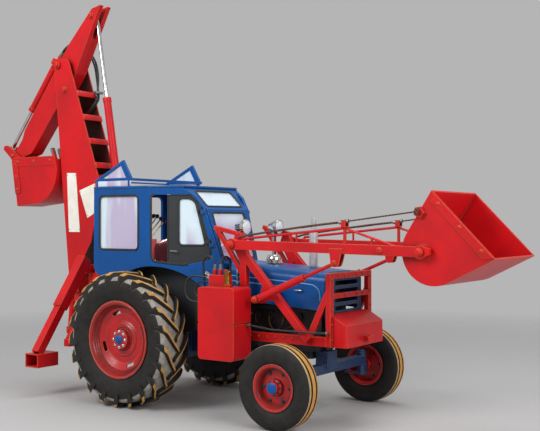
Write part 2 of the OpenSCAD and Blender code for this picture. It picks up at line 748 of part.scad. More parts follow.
// section of the loader bucket inset from its outer face, run out past the mouth by ext
module bucket_section(inset, ext) {
    r = bucket_r - inset;
    back_d = bucket_top - bucket_c;
    back_a = atan2(back_d[1], back_d[0]) + acos(bucket_r / norm(back_d));
    floor_d = bucket_lip - bucket_c;
    floor_a = atan2(floor_d[1], floor_d[0]) - acos(bucket_r / norm(floor_d));
    back_n = [cos(back_a), sin(back_a)];
    floor_n = [cos(floor_a), sin(floor_a)];
    back_t = bucket_c + r * back_n;
    floor_t = bucket_c + r * floor_n;
    back_u = unit(bucket_top - bucket_c - bucket_r * back_n);
    floor_u = unit(bucket_lip - bucket_c - bucket_r * floor_n);
    translate(bucket_c) circle(r, $fn = 72);
    polygon([bucket_c, back_t, bucket_top - inset * back_n + ext * back_u, bucket_lip - inset * floor_n + ext * floor_u, floor_t]);
}

module loader_bucket() {
    color("#c8322b") {
        difference() {
            plate(0, 2 * bucket_half) bucket_section(0, 0);
            plate(0, 2 * bucket_half - 40) bucket_section(bucket_t, 400);
        }
        both() {
            cross_pin(arm_tip, 28, -arm_y - arm_t / 2 - 20, -bucket_half + 5);
            cross_pin(arm_tip, 40, -arm_y - arm_t / 2 - 20, -arm_y - arm_t / 2 - 6);
            cross_pin(arm_tip, 70, -bucket_half - 14, -bucket_half + 5);
            plate(-bucket_half - 13, 36) polygon([rope_eye + [-40, -30], rope_eye + [-30, 36], rope_eye + [24, 44], rope_eye + [60, -10], rope_eye + [20, -60]]);
        }
    }
}

module lift_barrel() {
    along(lift_base, lift_eye, -arm_y) difference() {
        union() {
            translate([46, 0, 0]) rotate([0, 90, 0]) cylinder(h = 554, r = lift_ram_d / 2);
            rotate([90, 0, 0]) translate([0, 0, -eye_w / 2]) cylinder(h = eye_w, r = 38);
            translate([0, -eye_w / 2, -32]) cube([60, eye_w, 64]);
        }
        rotate([90, 0, 0]) translate([0, 0, -60]) cylinder(h = 120, r = lift_pin_r + fit);
        translate([36, 0, 0]) rotate([0, 90, 0]) cylinder(h = 640, r = lift_rod_r + fit);
    }
}

module lift_barrels() {
    color("#c8322b") both() lift_barrel();
}

module lift_rods() {
    span = norm(lift_eye - lift_base);
    color("#c8322b") both() along(lift_base, lift_eye, -arm_y) {
        translate([span - 614, 0, 0]) rotate([0, 90, 0]) cylinder(h = 604, r = lift_rod_r);
        translate([span, 0, 0]) rotate([90, 0, 0]) translate([0, 0, -lift_eye_w / 2]) cylinder(h = lift_eye_w, r = 30);
    }
}

module rope_guides() {
    color("#55585e") both() along(guide, rope_eye, -arm_y) difference() {
        union() {
            translate([-50, 0, 0]) rotate([0, 90, 0]) cylinder(h = 100, r = 20);
            rotate([90, 0, 0]) translate([0, 0, -40]) cylinder(h = 80, r = 8);
        }
        translate([-60, 0, 0]) rotate([0, 90, 0]) cylinder(h = 120, r = rope_d / 2 + fit);
    }
}

module tilt_ropes() {
    span = norm(rope_eye - guide);
    color("#8d2a24") both() along(guide, rope_eye, -arm_y) {
        translate([-470, 0, 0]) rotate([0, 90, 0]) cylinder(h = 470 + span - 10, r = rope_d / 2);
        translate([span, 0, 0]) rotate([90, 0, 0]) translate([0, 0, -14]) cylinder(h = 28, r = 24);
    }
}

module sleeve_frame() {
    translate([frame_x, 0, 0]) rotate([0, 0, 90]) rotate([90, 0, 0]) translate([-leg_top[0], leg_top[1], 0])
        mirror([1, 0, 0]) rotate([0, 0, leg_tilt]) children();
}

module backhoe_frame() {
    outer = leg_w + 2 * sleeve_wall + 2 * fit;
    color("#c8322b") {
        difference() {
            union() {
                translate([frame_x - 50, -110, 420]) cube([110, 220, 1000]);
                both() sleeve_frame() translate([-20, -outer / 2, -outer / 2]) cube([sleeve_len + 20, outer, outer]);
                translate([frame_x - 50, -330, 1330]) cube([110, 660, 90]);
                for (z = [470, 960]) {
                    translate([-slew_x, 0, z]) cylinder(h = 80, r = 98);
                    translate([-slew_x, -70, z]) cube([slew_x + frame_x, 140, 80]);
                }
            }
            both() sleeve_frame() translate([-200, -leg_w / 2 - fit, -leg_w / 2 - fit])
                cube([sleeve_len + 300, leg_w + 2 * fit, leg_w + 2 * fit]);
            translate([-slew_x, 0, 300]) cylinder(h = 800, r = post_r + fit);
        }
        translate([-1120, -640, 520]) cube([80, 1280, 80]);
        translate([frame_x + 50, -100, 520]) cube([60, 200, 80]);
        both() {
            translate([-1080, 0, 0]) rotate([90, 0, 90]) translate([0, 0, -40]) linear_extrude(80)
                polygon([[-60, 1300], [-60, 1400], [-120, 1400], [-620, 600], [-620, 560], [-540, 560]]);
            translate([-1080, -300, 640]) cube([820, 80, 110]);
            translate([-1120, -300, 590]) cube([80, 80, 160]);
        }
        translate([frame_x + 50, -100, 1300]) cube([120, 200, 100]);
    }
}

module stabiliser() {
    color("#c8322b") {
        sleeve_frame() translate([50, -leg_w / 2, -leg_w / 2]) cube([leg_len - 50, leg_w, leg_w]);
        difference() {
            translate([frame_x - 100, -1030, 320]) cube([200, 300, 150]);
            translate([frame_x - 88, -1040, 332]) cube([176, 180, 126]);
        }
    }
}

module slew_post() {
    color("#b02a24") {
        translate([-slew_x, 0, 430]) cylinder(h = 700, r = post_r);
        translate([-slew_x, 0, 425]) cylinder(h = 40, r = 90);
        translate([-slew_x, 0, 1045]) cylinder(h = 60, r = 90);
        difference() {
            union() {
                plate(0, 2 * boom_half - 2 * boom_plate - 12) polygon([boom_base + [-62, 0], boom_base + [-62, -150], boom_base + [62, -150], boom_base + [62, 0]]);
                cross_pin(boom_base, 62, -boom_half + boom_plate + 6, boom_half - boom_plate - 6);
            }
        }
        cross_pin(boom_base, boom_pin_r, -boom_half - 20, boom_half + 20);
        both() cross_pin(boom_base, 44, -boom_half - 20, -boom_half - 6);
        both() plate(-eye_w / 2 - 12, 16) polygon([boom_ram_base + [-42, 42], boom_ram_base + [-42, -42], boom_ram_base + [150, -42], boom_ram_base + [150, 42]]);
        cross_pin(boom_ram_base, lift_pin_r, -eye_w / 2 - 30, eye_w / 2 + 30);
    }
}

module boom_outline() {
    polygon([boom_base + [-72, -20], boom_base + [-40, -70], boom_base + [40, -70], boom_base + [175, 270], boom_base + [290, 450],
        boom_base + [440, 1120], boom_base + [400, 1230], boom_tip + [185, 28], boom_tip + [140, 70], boom_tip + [-30, 84],
        boom_tip + [-62, 40], boom_tip + [-66, -20], boom_base + [-85, 100]]);
}

module boom() {
    color("#c8322b") {
        difference() {
            both() plate(-boom_half + boom_plate / 2, boom_plate) boom_outline();
            cross_pin(boom_base, boom_pin_r + fit, -400, 400);
            cross_pin(boom_tip, tip_pin_r + fit, -400, 400);
        }
        for (t = [0.08, 0.29, 0.5, 0.71]) let (p = (1 - t) * (boom_base + [400, 1230]) + t * (boom_tip + [185, 28]))
            translate([p[0] - 110, -boom_half + boom_plate - 1, p[1]]) cube([96, 2 * boom_half - 2 * boom_plate + 2, 26]);
        for (p = [[-190, 1900], [-150, 1400], [-120, 900]]) translate([boom_base[0] + p[0], -boom_half + boom_plate - 1, boom_base[1] + p[1]])
            cube([24, 2 * boom_half - 2 * boom_plate + 2, 200]);
        both() cross_pin(boom_ram_eye, 40, -boom_half + boom_plate - 1, -eye_w / 2 - 3);
        both() plate(-eye_w / 2 - 14, 16) difference() {
            polygon([boom_base + [360, 1100], dip_ram_base + [-10, -48], dip_ram_base + [40, -40], dip_ram_base + [48, 30], dip_ram_base + [0, 48], boom_base + [380, 1250]]);
        }
        cross_pin(dip_ram_base, lift_pin_r, -eye_w / 2 - 30, eye_w / 2 + 30);
        translate([boom_base[0] + 352, -boom_half + boom_plate - 1, boom_base[1] + 1110]) cube([30, 2 * boom_half - 2 * boom_plate + 2, 130]);
    }
}

module dipper_outline() {
    p = [[-1430, 40], [-1425, -30], [-1300, -130], [-1150, -240], [-300, -255], [60, -250], [925, -83], [818, 8], [300, 62], [0, 62], [-1000, 44],
        [-1110, 8], [-1290, 8], [-1325, 42]];
    polygon([for (q = p) boom_tip + q[0] * dip_u + q[1] * dip_v]);
}

module dipper() {
    color("#c8322b") {
        difference() {
            union() {
                plate(0, 2 * dipper_half) dipper_outline();
                cross_pin(boom_tip, 60, -boom_half + boom_plate + 5, boom_half - boom_plate - 5);
                both() plate(-eye_w / 2 - 14, 16) polygon([dig_ram_base + 48 * dip_v - 34 * dip_u, dig_ram_base + 48 * dip_v + 40 * dip_u,
                    dig_ram_base - 150 * dip_v + 90 * dip_u, dig_ram_base - 150 * dip_v - 44 * dip_u]);
            }
            plate(0, eye_w + 12) polygon([for (q = [[-115, 120], [-115, 20], [-420, -300], [400, -300], [400, 120]]) dip_ram_top + q[0] * dip_u + q[1] * dip_v]);
            cross_pin(dig_pivot, 28 + fit, -400, 400);
        }
        cross_pin(boom_tip, tip_pin_r, -boom_half - 20, boom_half + 20);
        both() cross_pin(boom_tip, 46, -boom_half - 20, -boom_half - 6);
        cross_pin(dig_ram_base, lift_pin_r, -eye_w / 2 - 30, eye_w / 2 + 30);
    }
}

dig_c = dig_pivot + [500, -215];
dig_r = 395;

module dig_section(inset, ext) {
    translate(dig_c) intersection() {
        circle(dig_r - inset, $fn = 72);
        translate([0, -600]) square([600, 740 + ext * 4]);
    }
    polygon([dig_pivot + [100 + inset * 1.02, -62 + ext], dig_pivot + [195 + inset * 1.2, -640 + inset], dig_c + [0, -dig_r + inset],
        dig_c, dig_c + [(dig_r - inset) * cos(19), (dig_r - inset) * sin(19) + ext]]);
}

module digging_bucket() {
    color("#b02a24") {
        difference() {
            plate(0, 2 * dig_half) dig_section(0, 0);
            plate(0, 2 * dig_half - 28) dig_section(14, 100);
            translate([dig_c[0] - 1000, -500, dig_pivot[1] - 30]) cube([2000, 1000, 800]);
        }
        both() {
            plate(-dipper_half - 14, 18) polygon([dig_pivot + [-40, -20], dig_pivot + [30, -120], dig_pivot + [130, -300], dig_pivot + [170, -40], dig_pivot + [60, 40], dig_ram_eye + [40, 36], dig_ram_eye + [-20, 38], dig_ram_eye + [-38, -10]]);
            for (y = [60, 170]) translate([dig_c[0] + dig_r * cos(17) - 18, -y, dig_pivot[1] - 108]) rotate([0, -22, 0]) translate([-16, -22, 0]) cube([34, 44, 180]);
        }
        cross_pin(dig_pivot, 28, -dipper_half - 30, dipper_half + 30);
        both() cross_pin(dig_ram_eye, 30, -dipper_half - 12, -eye_w / 2 - 3);
    }
}

// ram barrel from base to eye: total closed body length, bore and mouth
module ram_barrel(base, eye, len_b, d, bore) {
    along(base, eye, 0) difference() {
        union() {
            translate([64, 0, 0]) rotate([0, 90, 0]) cylinder(h = len_b - 64, r = d / 2);
            translate([len_b - 50, 0, 0]) rotate([0, 90, 0]) cylinder(h = 50, r = d / 2 + 5);
            rotate([90, 0, 0]) translate([0, 0, -eye_w / 2]) cylinder(h = eye_w, r = 38);
            translate([0, -eye_w / 2, -34]) cube([70, eye_w, 68]);
        }
        rotate([90, 0, 0]) translate([0, 0, -60]) cylinder(h = 120, r = lift_pin_r + fit);
        translate([52, 0, 0]) rotate([0, 90, 0]) cylinder(h = len_b, r = bore + fit);
    }
}

module ram_rod(base, eye, len_r, r) {
    span = norm(eye - base);
    along(base, eye, 0) {
        translate([span - len_r, 0, 0]) rotate([0, 90, 0]) cylinder(h = len_r - 10, r = r);
        translate([span, 0, 0]) rotate([90, 0, 0]) translate([0, 0, -eye_w / 2]) cylinder(h = eye_w, r = 34);
    }
}

module boom_ram_barrel() {
    color("#c8322b") ram_barrel(boom_ram_base, boom_ram_eye, 800, boom_ram_d, rod_d / 2);
}

module boom_ram_rod() {
    color("#c9ccd2") ram_rod(boom_ram_base, boom_ram_eye, 780, rod_d / 2);
}

module dipper_ram_barrel() {
    color("#c8322b") ram_barrel(dip_ram_base, dip_ram_top, 940, ram_d, rod_d / 2);
}

module dipper_ram_rod() {
    color("#c9ccd2") ram_rod(dip_ram_base, dip_ram_top, 1054, rod_d / 2);
}

module bucket_ram_barrel() {
    color("#c8322b") ram_barrel(dig_ram_base, dig_ram_eye, 720, ram_d, rod_d / 2);
}

module bucket_ram_rod() {
    color("#c9ccd2") ram_rod(dig_ram_base, dig_ram_eye, 700, rod_d / 2);
}

module left() {
    mirror([0, 1, 0]) children();
}

placed() transmission();
placed() engine();
placed() nose_cowl();
placed() bonnet();
placed() stacks();
placed() front_axle();
placed() loader_frame();
placed() front_guard();
placed() oil_tanks();
placed() pipework();
placed() cab_sides();
placed() cab_front();
placed() cab_roof();
placed() cab_rear();
placed() cab_glass();
placed() roof_screens();
placed() mudguards();
placed() seat();
placed() lever_console();
placed() steering_column();
placed() headlamps();
placed() backhoe_frame();
placed() wheel_place(0, rear_y, rear_r) rear_tyre();  // rear_tyre_right
placed() wheel_place(0, rear_y, rear_r) rear_wheel();  // rear_wheel_right
placed() left() wheel_place(0, rear_y, rear_r) rear_tyre();  // rear_tyre_left
placed() left() wheel_place(0, rear_y, rear_r) rear_wheel();  // rear_wheel_left
placed() knuckle();  // knuckle_right
placed() left() knuckle();  // knuckle_left
placed() wheel_place(wheelbase, front_y, front_r) front_tyre();  // front_tyre_right
placed() wheel_place(wheelbase, front_y, front_r) front_wheel();  // front_wheel_right
placed() left() wheel_place(wheelbase, front_y, front_r) front_tyre();  // front_tyre_left
placed() left() wheel_place(wheelbase, front_y, front_r) front_wheel();  // front_wheel_left
placed() loader_arms();
placed() loader_bucket();
placed() lift_barrels();
placed() lift_rods();
placed() rope_guides();
placed() tilt_ropes();
placed() slew_post();
placed() boom();
placed() boom_ram_barrel();
placed() boom_ram_rod();
placed() dipper();
placed() dipper_ram_barrel();
placed() dipper_ram_rod();
placed() digging_bucket();
placed() bucket_ram_barrel();
placed() bucket_ram_rod();
placed() stabiliser();  // stabiliser_right
placed() left() stabiliser();  // stabiliser_left
placed() door();  // door_right
placed() left() door();  // door_left
placed() door_pane();  // door_pane_right
placed() left() door_pane();  // door_pane_left
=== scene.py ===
import math

import bmesh
import bpy
from mathutils import Matrix, Vector


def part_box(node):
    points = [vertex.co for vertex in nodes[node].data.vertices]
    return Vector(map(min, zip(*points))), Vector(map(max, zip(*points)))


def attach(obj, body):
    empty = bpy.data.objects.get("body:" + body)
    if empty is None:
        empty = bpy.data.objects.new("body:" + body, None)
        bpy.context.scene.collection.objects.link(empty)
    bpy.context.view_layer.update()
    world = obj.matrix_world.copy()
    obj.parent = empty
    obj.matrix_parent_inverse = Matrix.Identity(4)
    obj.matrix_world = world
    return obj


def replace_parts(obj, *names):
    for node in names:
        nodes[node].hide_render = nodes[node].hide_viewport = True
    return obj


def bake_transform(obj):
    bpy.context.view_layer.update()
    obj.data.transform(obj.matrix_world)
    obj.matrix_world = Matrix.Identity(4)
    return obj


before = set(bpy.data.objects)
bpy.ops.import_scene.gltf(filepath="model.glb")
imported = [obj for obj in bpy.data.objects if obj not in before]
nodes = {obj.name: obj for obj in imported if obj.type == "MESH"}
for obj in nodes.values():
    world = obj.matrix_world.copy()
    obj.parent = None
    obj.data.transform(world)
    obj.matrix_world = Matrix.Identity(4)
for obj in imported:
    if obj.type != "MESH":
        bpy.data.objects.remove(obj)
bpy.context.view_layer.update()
axleLow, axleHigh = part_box("rear_wheel_right")
axleX = (axleLow.x + axleHigh.x) / 2  # everything below is placed from the rear axle, in metres

hands = {"right": -1, "left": 1}  # the sign of Y on each side
forward = Vector((1, 0, 0))
leftward = Vector((0, 1, 0))
upward = Vector((0, 0, 1))


def at(x, y, z):
    return Vector((x + axleX, y, z))


def linear(hexText):
    # an sRGB colour as the linear values that a shader takes
    parts = [int(hexText[i:i + 2], 16) / 255 for i in (1, 3, 5)]
    return tuple(c / 12.92 if c <= 0.04045 else ((c + 0.055) / 1.055) ** 2.4 for c in parts) + (1.0,)


def setInputs(tree, node, inputs):
    # another node's output is linked, any other value is set
    for key, value in inputs.items():
        if isinstance(value, bpy.types.NodeSocket):
            tree.links.new(value, node.inputs[key])
        else:
            node.inputs[key].default_value = value


def addNode(tree, kind, inputs=None, **settings):
    # MapRange takes its value at 0, the range at 1 and 2 and what that becomes at 3 and 4;
    # Mix takes its share at 0 and the two colours at 6 and 7
    node = tree.nodes.new("ShaderNode" + kind)
    for key, value in settings.items():
        setattr(node, key, value)
    setInputs(tree, node, inputs or {})
    return node


def startFinish(name):
    # a new material, its tree, its shader and the place on the object that patterns hang on
    made = bpy.data.materials.new(name)
    made.use_nodes = True
    tree = made.node_tree
    return made, tree, tree.nodes["Principled BSDF"], addNode(tree, "TexCoord").outputs["Object"]


# what a finish has where its look doesn't say
usualLook = {
    "bump": 0.15, "bumpDepth": 0.002, "wear": 0.8,
    "metal": 0.0, "coat": 0.0, "coatRough": 0.12, "specular": 0.5,
}


def makeFinish(name, ownLook):
    # layers of colour over a base: fading, dust on top, painted shade in a rope's gaps, worn edges with a
    # painted highlight, soil and painted shade in corners
    look = {**usualLook, **ownLook}
    made, tree, shader, place = startFinish(name)
    normal = addNode(tree, "NewGeometry").outputs["Normal"]
    patches = {"Vector": place, "Scale": 1000 / look["patch"], "Detail": 5, "Roughness": 0.6}
    broad = addNode(tree, "TexNoise", patches).outputs["Fac"]
    grains = {"Vector": place, "Scale": 1000 / look["grain"], "Detail": 3}
    fine = addNode(tree, "TexNoise", grains).outputs["Fac"]
    relief = {"Height": fine, "Strength": look["bump"], "Distance": look["bumpDepth"]}
    layers = {"faded": addNode(tree, "MapRange", {0: broad, 1: 0.35, 2: 0.7})}
    if "dust" in look:
        facing = addNode(tree, "SeparateXYZ", {0: normal}).outputs[2]
        lying = addNode(tree, "MapRange", {0: facing, 1: 0.2, 2: 0.95}).outputs[0]
        specks = addNode(tree, "MapRange", {0: fine, 1: 0.3, 2: 0.8, 4: look["dusty"]}).outputs[0]
        layers["dust"] = addNode(tree, "Math", {0: lying, 1: specks}, operation="MULTIPLY")
    if "twist" in look:
        strands = {"Vector": place, "Scale": 628 / look["twist"]}  # at scale 1 a wave is 628 mm long
        relief["Height"] = addNode(tree, "TexWave", strands, bands_direction="DIAGONAL").outputs["Fac"]
        # painted shade: black where the wave is low, between the strands
        layers["gap"] = addNode(tree, "MapRange", {0: relief["Height"], 1: 0.55, 2: 0.1})
    if "edge" in look:
        # painted highlight: a lighter colour along edges found by the bevel, also standing for worn edges
        rounded = addNode(tree, "Bevel", {"Radius": look["edgeWidth"]}, samples=4).outputs[0]
        bent = addNode(tree, "VectorMath", {0: rounded, 1: normal}, operation="DOT_PRODUCT").outputs["Value"]
        litAndWornEdge = addNode(tree, "MapRange", {0: bent, 1: 0.985, 2: 0.86}).outputs[0]
        uneven = addNode(tree, "MapRange", {0: broad, 1: 0.3, 2: 0.6, 3: 0.35, 4: look["wear"]}).outputs[0]
        layers["edge"] = addNode(tree, "Math", {0: litAndWornEdge, 1: uneven}, operation="MULTIPLY")
        relief["Normal"] = rounded
    if "soilAndShade" in look:
        # painted shade: the colour darkens where ambient occlusion finds corners and hollows, also standing
        # for soil there
        openness = addNode(tree, "AmbientOcclusion", {"Distance": look["soilAndShadeReach"]}, samples=6).outputs["AO"]
        layers["soilAndShade"] = addNode(tree, "MapRange", {0: openness, 1: 0.8, 2: 0.25, 4: look["soilAndShadeAmount"]})
    colour = linear(look["colour"])
    for key, layer in layers.items():
        mixed = {0: layer.outputs[0], 6: colour, 7: linear(look[key])}
        colour = addNode(tree, "Mix", mixed, data_type="RGBA").outputs[2]
    smoothest, roughest = look["rough"]
    rough = addNode(tree, "MapRange", {0: fine, 1: 0.3, 2: 0.7, 3: smoothest, 4: roughest})
    setInputs(tree, shader, {
        "Base Color": colour, "Roughness": rough.outputs[0], "Metallic": look["metal"],
        "Coat Weight": look["coat"], "Coat Roughness": look["coatRough"],
        "Specular IOR Level": look["specular"], "Normal": addNode(tree, "Bump", relief).outputs[0],
    })
    return made


# patch, grain and twist are in millimetres; the grain is drawn coarser than the real one, so that it shows
looks = {
    # painted shade: dark red inside the boom's box and in the wheel discs' grooves, where shade falls
    "stainedRed": {
        "colour": "#5a2119", "faded": "#341a12", "patch": 200, "grain": 10, "rough": (0.5, 0.7),
        "edge": "#8a3a22", "edgeWidth": 0.01, "bump": 0.3},
    # greased wire rope: brown strands, with black painted shade in the gaps between them
    "greasedRope": {
        "colour": "#6d4032", "faded": "#4a2a20", "patch": 100, "grain": 4, "rough": (0.45, 0.65),
        "twist": 34, "gap": "#120b08", "bump": 0.9, "bumpDepth": 0.004},
    # moulded lamp glass: near white with a cool cast
    "lampGlass": {
        "colour": "#e6edf2", "faded": "#c3d2de", "patch": 40, "grain": 10, "rough": (0.05, 0.14),
        "coat": 1.0, "bump": 0.25, "bumpDepth": 0.003},
    # brush-laid red enamel: warm scarlet, chalky patches, edges worn and lightened to orange as a painted
    # highlight, soil and painted shade in corners
    "redEnamel": {
        "colour": "#cf1119", "faded": "#b31117", "patch": 450, "grain": 12, "rough": (0.34, 0.5),
        "edge": "#e8813f", "edgeWidth": 0.010, "wear": 0.7, "dust": "#b8302c", "dusty": 0.25,
        "soilAndShade": "#4a1a12", "soilAndShadeReach": 0.09, "soilAndShadeAmount": 0.75, "coat": 0.06, "specular": 0.25},
    # red enamel on pressed wheel discs: glossier, with brown road film, pale painted highlights on edges and
    # painted shade in the dish's hollows
    "wheelEnamel": {
        "colour": "#c2121a", "faded": "#98141a", "patch": 200, "grain": 10, "rough": (0.28, 0.45),
        "edge": "#ee9a7c", "edgeWidth": 0.008, "dust": "#7a2a20", "dusty": 0.4,
        "soilAndShade": "#2e0d0a", "soilAndShadeReach": 0.12, "soilAndShadeAmount": 0.9, "coat": 0.15, "specular": 0.4},
    # mid-blue cab enamel: deep and even, edges a shade lighter as a painted highlight, soil and painted shade
    # in corners
    "blueEnamel": {
        "colour": "#004f97", "faded": "#004787", "patch": 600, "grain": 12, "rough": (0.25, 0.4),
        "edge": "#4d84bd", "edgeWidth": 0.008, "dust": "#2a6bab", "dusty": 0.35,
        "soilAndShade": "#06203c", "soilAndShadeReach": 0.06, "soilAndShadeAmount": 0.7, "coat": 0.08, "specular": 0.3},
    # darker blue on castings and axle: thick paint over rough iron
    "castBlue": {
        "colour": "#1d3a66", "faded": "#16253d", "patch": 160, "grain": 8, "rough": (0.4, 0.62),
        "edge": "#5a82b4", "edgeWidth": 0.009, "bump": 0.4, "bumpDepth": 0.003},
    # charcoal satin paint on doors, floor and inner wings; on the inner wings the dark colour is painted
    # shade inside the wheel arches
    "charcoalPaint": {
        "colour": "#26282c", "faded": "#1d1f22", "patch": 300, "grain": 6, "rough": (0.45, 0.62),
        "edge": "#4d5054", "edgeWidth": 0.006, "bump": 0.2},
    # engine iron under old paint and oil: nearly black, glossy in places
    "oilyIron": {
        "colour": "#20242a", "faded": "#101216", "patch": 100, "grain": 8, "rough": (0.35, 0.65),
        "edge": "#55606c", "edgeWidth": 0.007, "bump": 0.5, "bumpDepth": 0.003},
    # tyre walls and lug sides: near-black rubber with a grey bloom
    "tyreRubber": {
        "colour": "#151413", "faded": "#262320", "patch": 90, "grain": 6, "rough": (0.6, 0.8),
        "edge": "#6b655c", "edgeWidth": 0.006, "bump": 0.35, "bumpDepth": 0.002, "specular": 0.35},
    # tread between the lugs, scuffed to a warm grey, with black painted shade under the lugs
    "scuffedRubber": {
        "colour": "#a09a92", "faded": "#7a746c", "patch": 60, "grain": 5, "rough": (0.65, 0.85),
        "edge": "#a98a5c", "edgeWidth": 0.006, "soilAndShade": "#12100e", "soilAndShadeReach": 0.05, "soilAndShadeAmount": 0.95,
        "bump": 0.4, "specular": 0.3},
    # running faces of lugs and ribs, polished and coloured by clay
    "clayRubber": {
        "colour": "#c4944c", "faded": "#a4773a", "patch": 70, "grain": 5, "rough": (0.6, 0.8),
        "edge": "#d8ad66", "edgeWidth": 0.005, "bump": 0.4, "specular": 0.3},
    # bright plated steel on rods and lamp rims
    "chrome": {
        "colour": "#d9dbd6", "faded": "#c4c7c4", "patch": 80, "grain": 4, "rough": (0.08, 0.2),
        "metal": 1.0, "bump": 0.03},
    # heat-resisting aluminium paint on the exhaust: pale and half metallic
    "silverPaint": {
        "colour": "#c6c6ca", "faded": "#a5a5aa", "patch": 70, "grain": 6, "rough": (0.3, 0.5),
        "edge": "#f0f0f0", "edgeWidth": 0.005, "metal": 0.35},
    # zinc-plated fasteners and fittings: dull grey with brown patches
    "zincSteel": {
        "colour": "#9a9c9e", "faded": "#73706a", "patch": 20, "grain": 3, "rough": (0.3, 0.55),
        "metal": 0.9, "bump": 0.1},
    # hose cover and window seal: matt black with a dry bloom
    "hoseRubber": {
        "colour": "#17181a", "faded": "#2a2b2c", "patch": 50, "grain": 3, "rough": (0.42, 0.6),
        "bump": 0.2, "bumpDepth": 0.001},
    # spun brass filter bowl and pipes: yellow, browned in patches
    "brass": {
        "colour": "#a9782f", "faded": "#6d4a1d", "patch": 30, "grain": 4, "rough": (0.22, 0.45),
        "metal": 0.95, "bump": 0.08},
    # seat vinyl: oxblood red with a pressed grain
    "seatVinyl": {
        "colour": "#a8332e", "faded": "#8d2723", "patch": 120, "grain": 4, "rough": (0.4, 0.58),
        "edge": "#c9655a", "edgeWidth": 0.008, "bump": 0.35, "bumpDepth": 0.0015},
    # painted highlight: lighter blue where the bonnet's pressed lines catch the light
    "paleBlue": {
        "colour": "#7fb0dd", "faded": "#5b93c8", "patch": 200, "grain": 10, "rough": (0.25, 0.4),
        "bump": 0.05},
    # sign enamel: chalky white, slightly yellowed
    "whiteEnamel": {
        "colour": "#f0ede4", "faded": "#e2dccb", "patch": 120, "grain": 4, "rough": (0.35, 0.5),
        "edge": "#b9a98a", "edgeWidth": 0.004, "bump": 0.05},
    # lever shafts in pale painted steel
    "creamPaint": {
        "colour": "#e0cfa2", "faded": "#c9b283", "patch": 50, "grain": 4, "rough": (0.35, 0.5),
        "bump": 0.05},
}
finishes = {name: makeFinish(name, look) for name, look in looks.items()}

glassLook = {
    "tintAndSkyReflection": "#e2f3fc", "sheen": "#c8bcd8", "opacity": 0.8, "rough": 0.05, "coatRough": 0.03,
    "slant": 0.75, "stretch": (1.5, 0.3, 0.3), "streaksPerMetre": 2.6,  # counted before the stretch
}


def makeGlass(name, look):
    # pale sky-blue pane, its paleness a painted reflection, with a slanting lilac streak of painted sheen; a
    # fifth of what shows comes from behind it
    made, tree, shader, place = startFinish(name)
    tilt = {"Vector": place, "Rotation": (0.0, look["slant"], 0.0), "Scale": look["stretch"]}
    tilted = addNode(tree, "Mapping", tilt).outputs[0]
    streaks = {"Vector": tilted, "Scale": look["streaksPerMetre"], "Detail": 2}
    sheenNoise = addNode(tree, "TexNoise", streaks).outputs["Fac"]
    shown = addNode(tree, "MapRange", {0: sheenNoise, 1: 0.5, 2: 0.62}).outputs[0]
    mixed = {0: shown, 6: linear(look["tintAndSkyReflection"]), 7: linear(look["sheen"])}
    setInputs(tree, shader, {
        "Base Color": addNode(tree, "Mix", mixed, data_type="RGBA").outputs[2], "Roughness": look["rough"],
        "Alpha": look["opacity"], "Coat Weight": 1.0, "Coat Roughness": look["coatRough"],
    })
    return made


finishes["paleGlass"] = makeGlass("paleGlass", glassLook)
print("finishes made")


def paint(node, finish, parts=()):
    # gives a node its finish, and other finishes to the faces whose middles lie in the boxes named
    mesh = nodes[node].data
    mesh.materials.clear()
    mesh.materials.append(finishes[finish])
    for index, (other, low, high) in enumerate(parts):
        mesh.materials.append(finishes[other])
        for face in mesh.polygons:
            middle = nodes[node].matrix_world @ face.center
            if all(low[i] <= middle[i] <= high[i] for i in range(3)):
                face.material_index = index + 1


nodeFinishes = {
    "redEnamel": "loader_frame front_guard oil_tanks backhoe_frame loader_arms loader_bucket lift_barrels "
                 "lift_rods slew_post boom boom_ram_barrel dipper dipper_ram_barrel digging_bucket "
                 "bucket_ram_barrel stabiliser_right stabiliser_left",
    "greasedRope": "tilt_ropes",
    "wheelEnamel": "rear_wheel_right rear_wheel_left front_wheel_right front_wheel_left",
    "blueEnamel": "bonnet cab_sides cab_front cab_roof cab_rear roof_screens",
    "castBlue": "transmission nose_cowl front_axle knuckle_right knuckle_left",
    # the inner wings are dark as painted shade inside the wheel arches
    "charcoalPaint": "mudguards door_right door_left steering_column",
    "oilyIron": "engine",
    "tyreRubber": "rear_tyre_right rear_tyre_left front_tyre_right front_tyre_left",
    "chrome": "headlamps boom_ram_rod dipper_ram_rod bucket_ram_rod",
    "silverPaint": "stacks",
    "zincSteel": "rope_guides",
    "hoseRubber": "pipework",
    "seatVinyl": "seat lever_console",
    "paleGlass": "cab_glass door_pane_right door_pane_left",
}
boomWall, sliver, farOff = 0.136, 0.001, 9  # the boom's inner walls, picked out by thin upright boxes
splitFinishes = {
    # the boom's inner walls, the digging bucket's teeth and the air pre-cleaner's bowl
    # the boom's inner walls get the dark red of painted shade
    "boom": [("stainedRed", at(-farOff, y - sliver, 0), at(farOff, y + sliver, farOff))
             for y in (-boomWall, boomWall)],
    "digging_bucket": [("zincSteel", at(-1.9, -0.21, 2.735), at(-1.6, 0.21, 2.95))],
    "stacks": [("chrome", at(1.2, -0.2, 1.49), at(1.45, 0.2, 2.0))],
}
for finish, names in nodeFinishes.items():
    for name in names.split():
        paint(name, finish, splitFinishes.get(name, ()))
print("nodes painted")


crispAngle = math.radians(35)  # edges that turn by more than this stay sharp


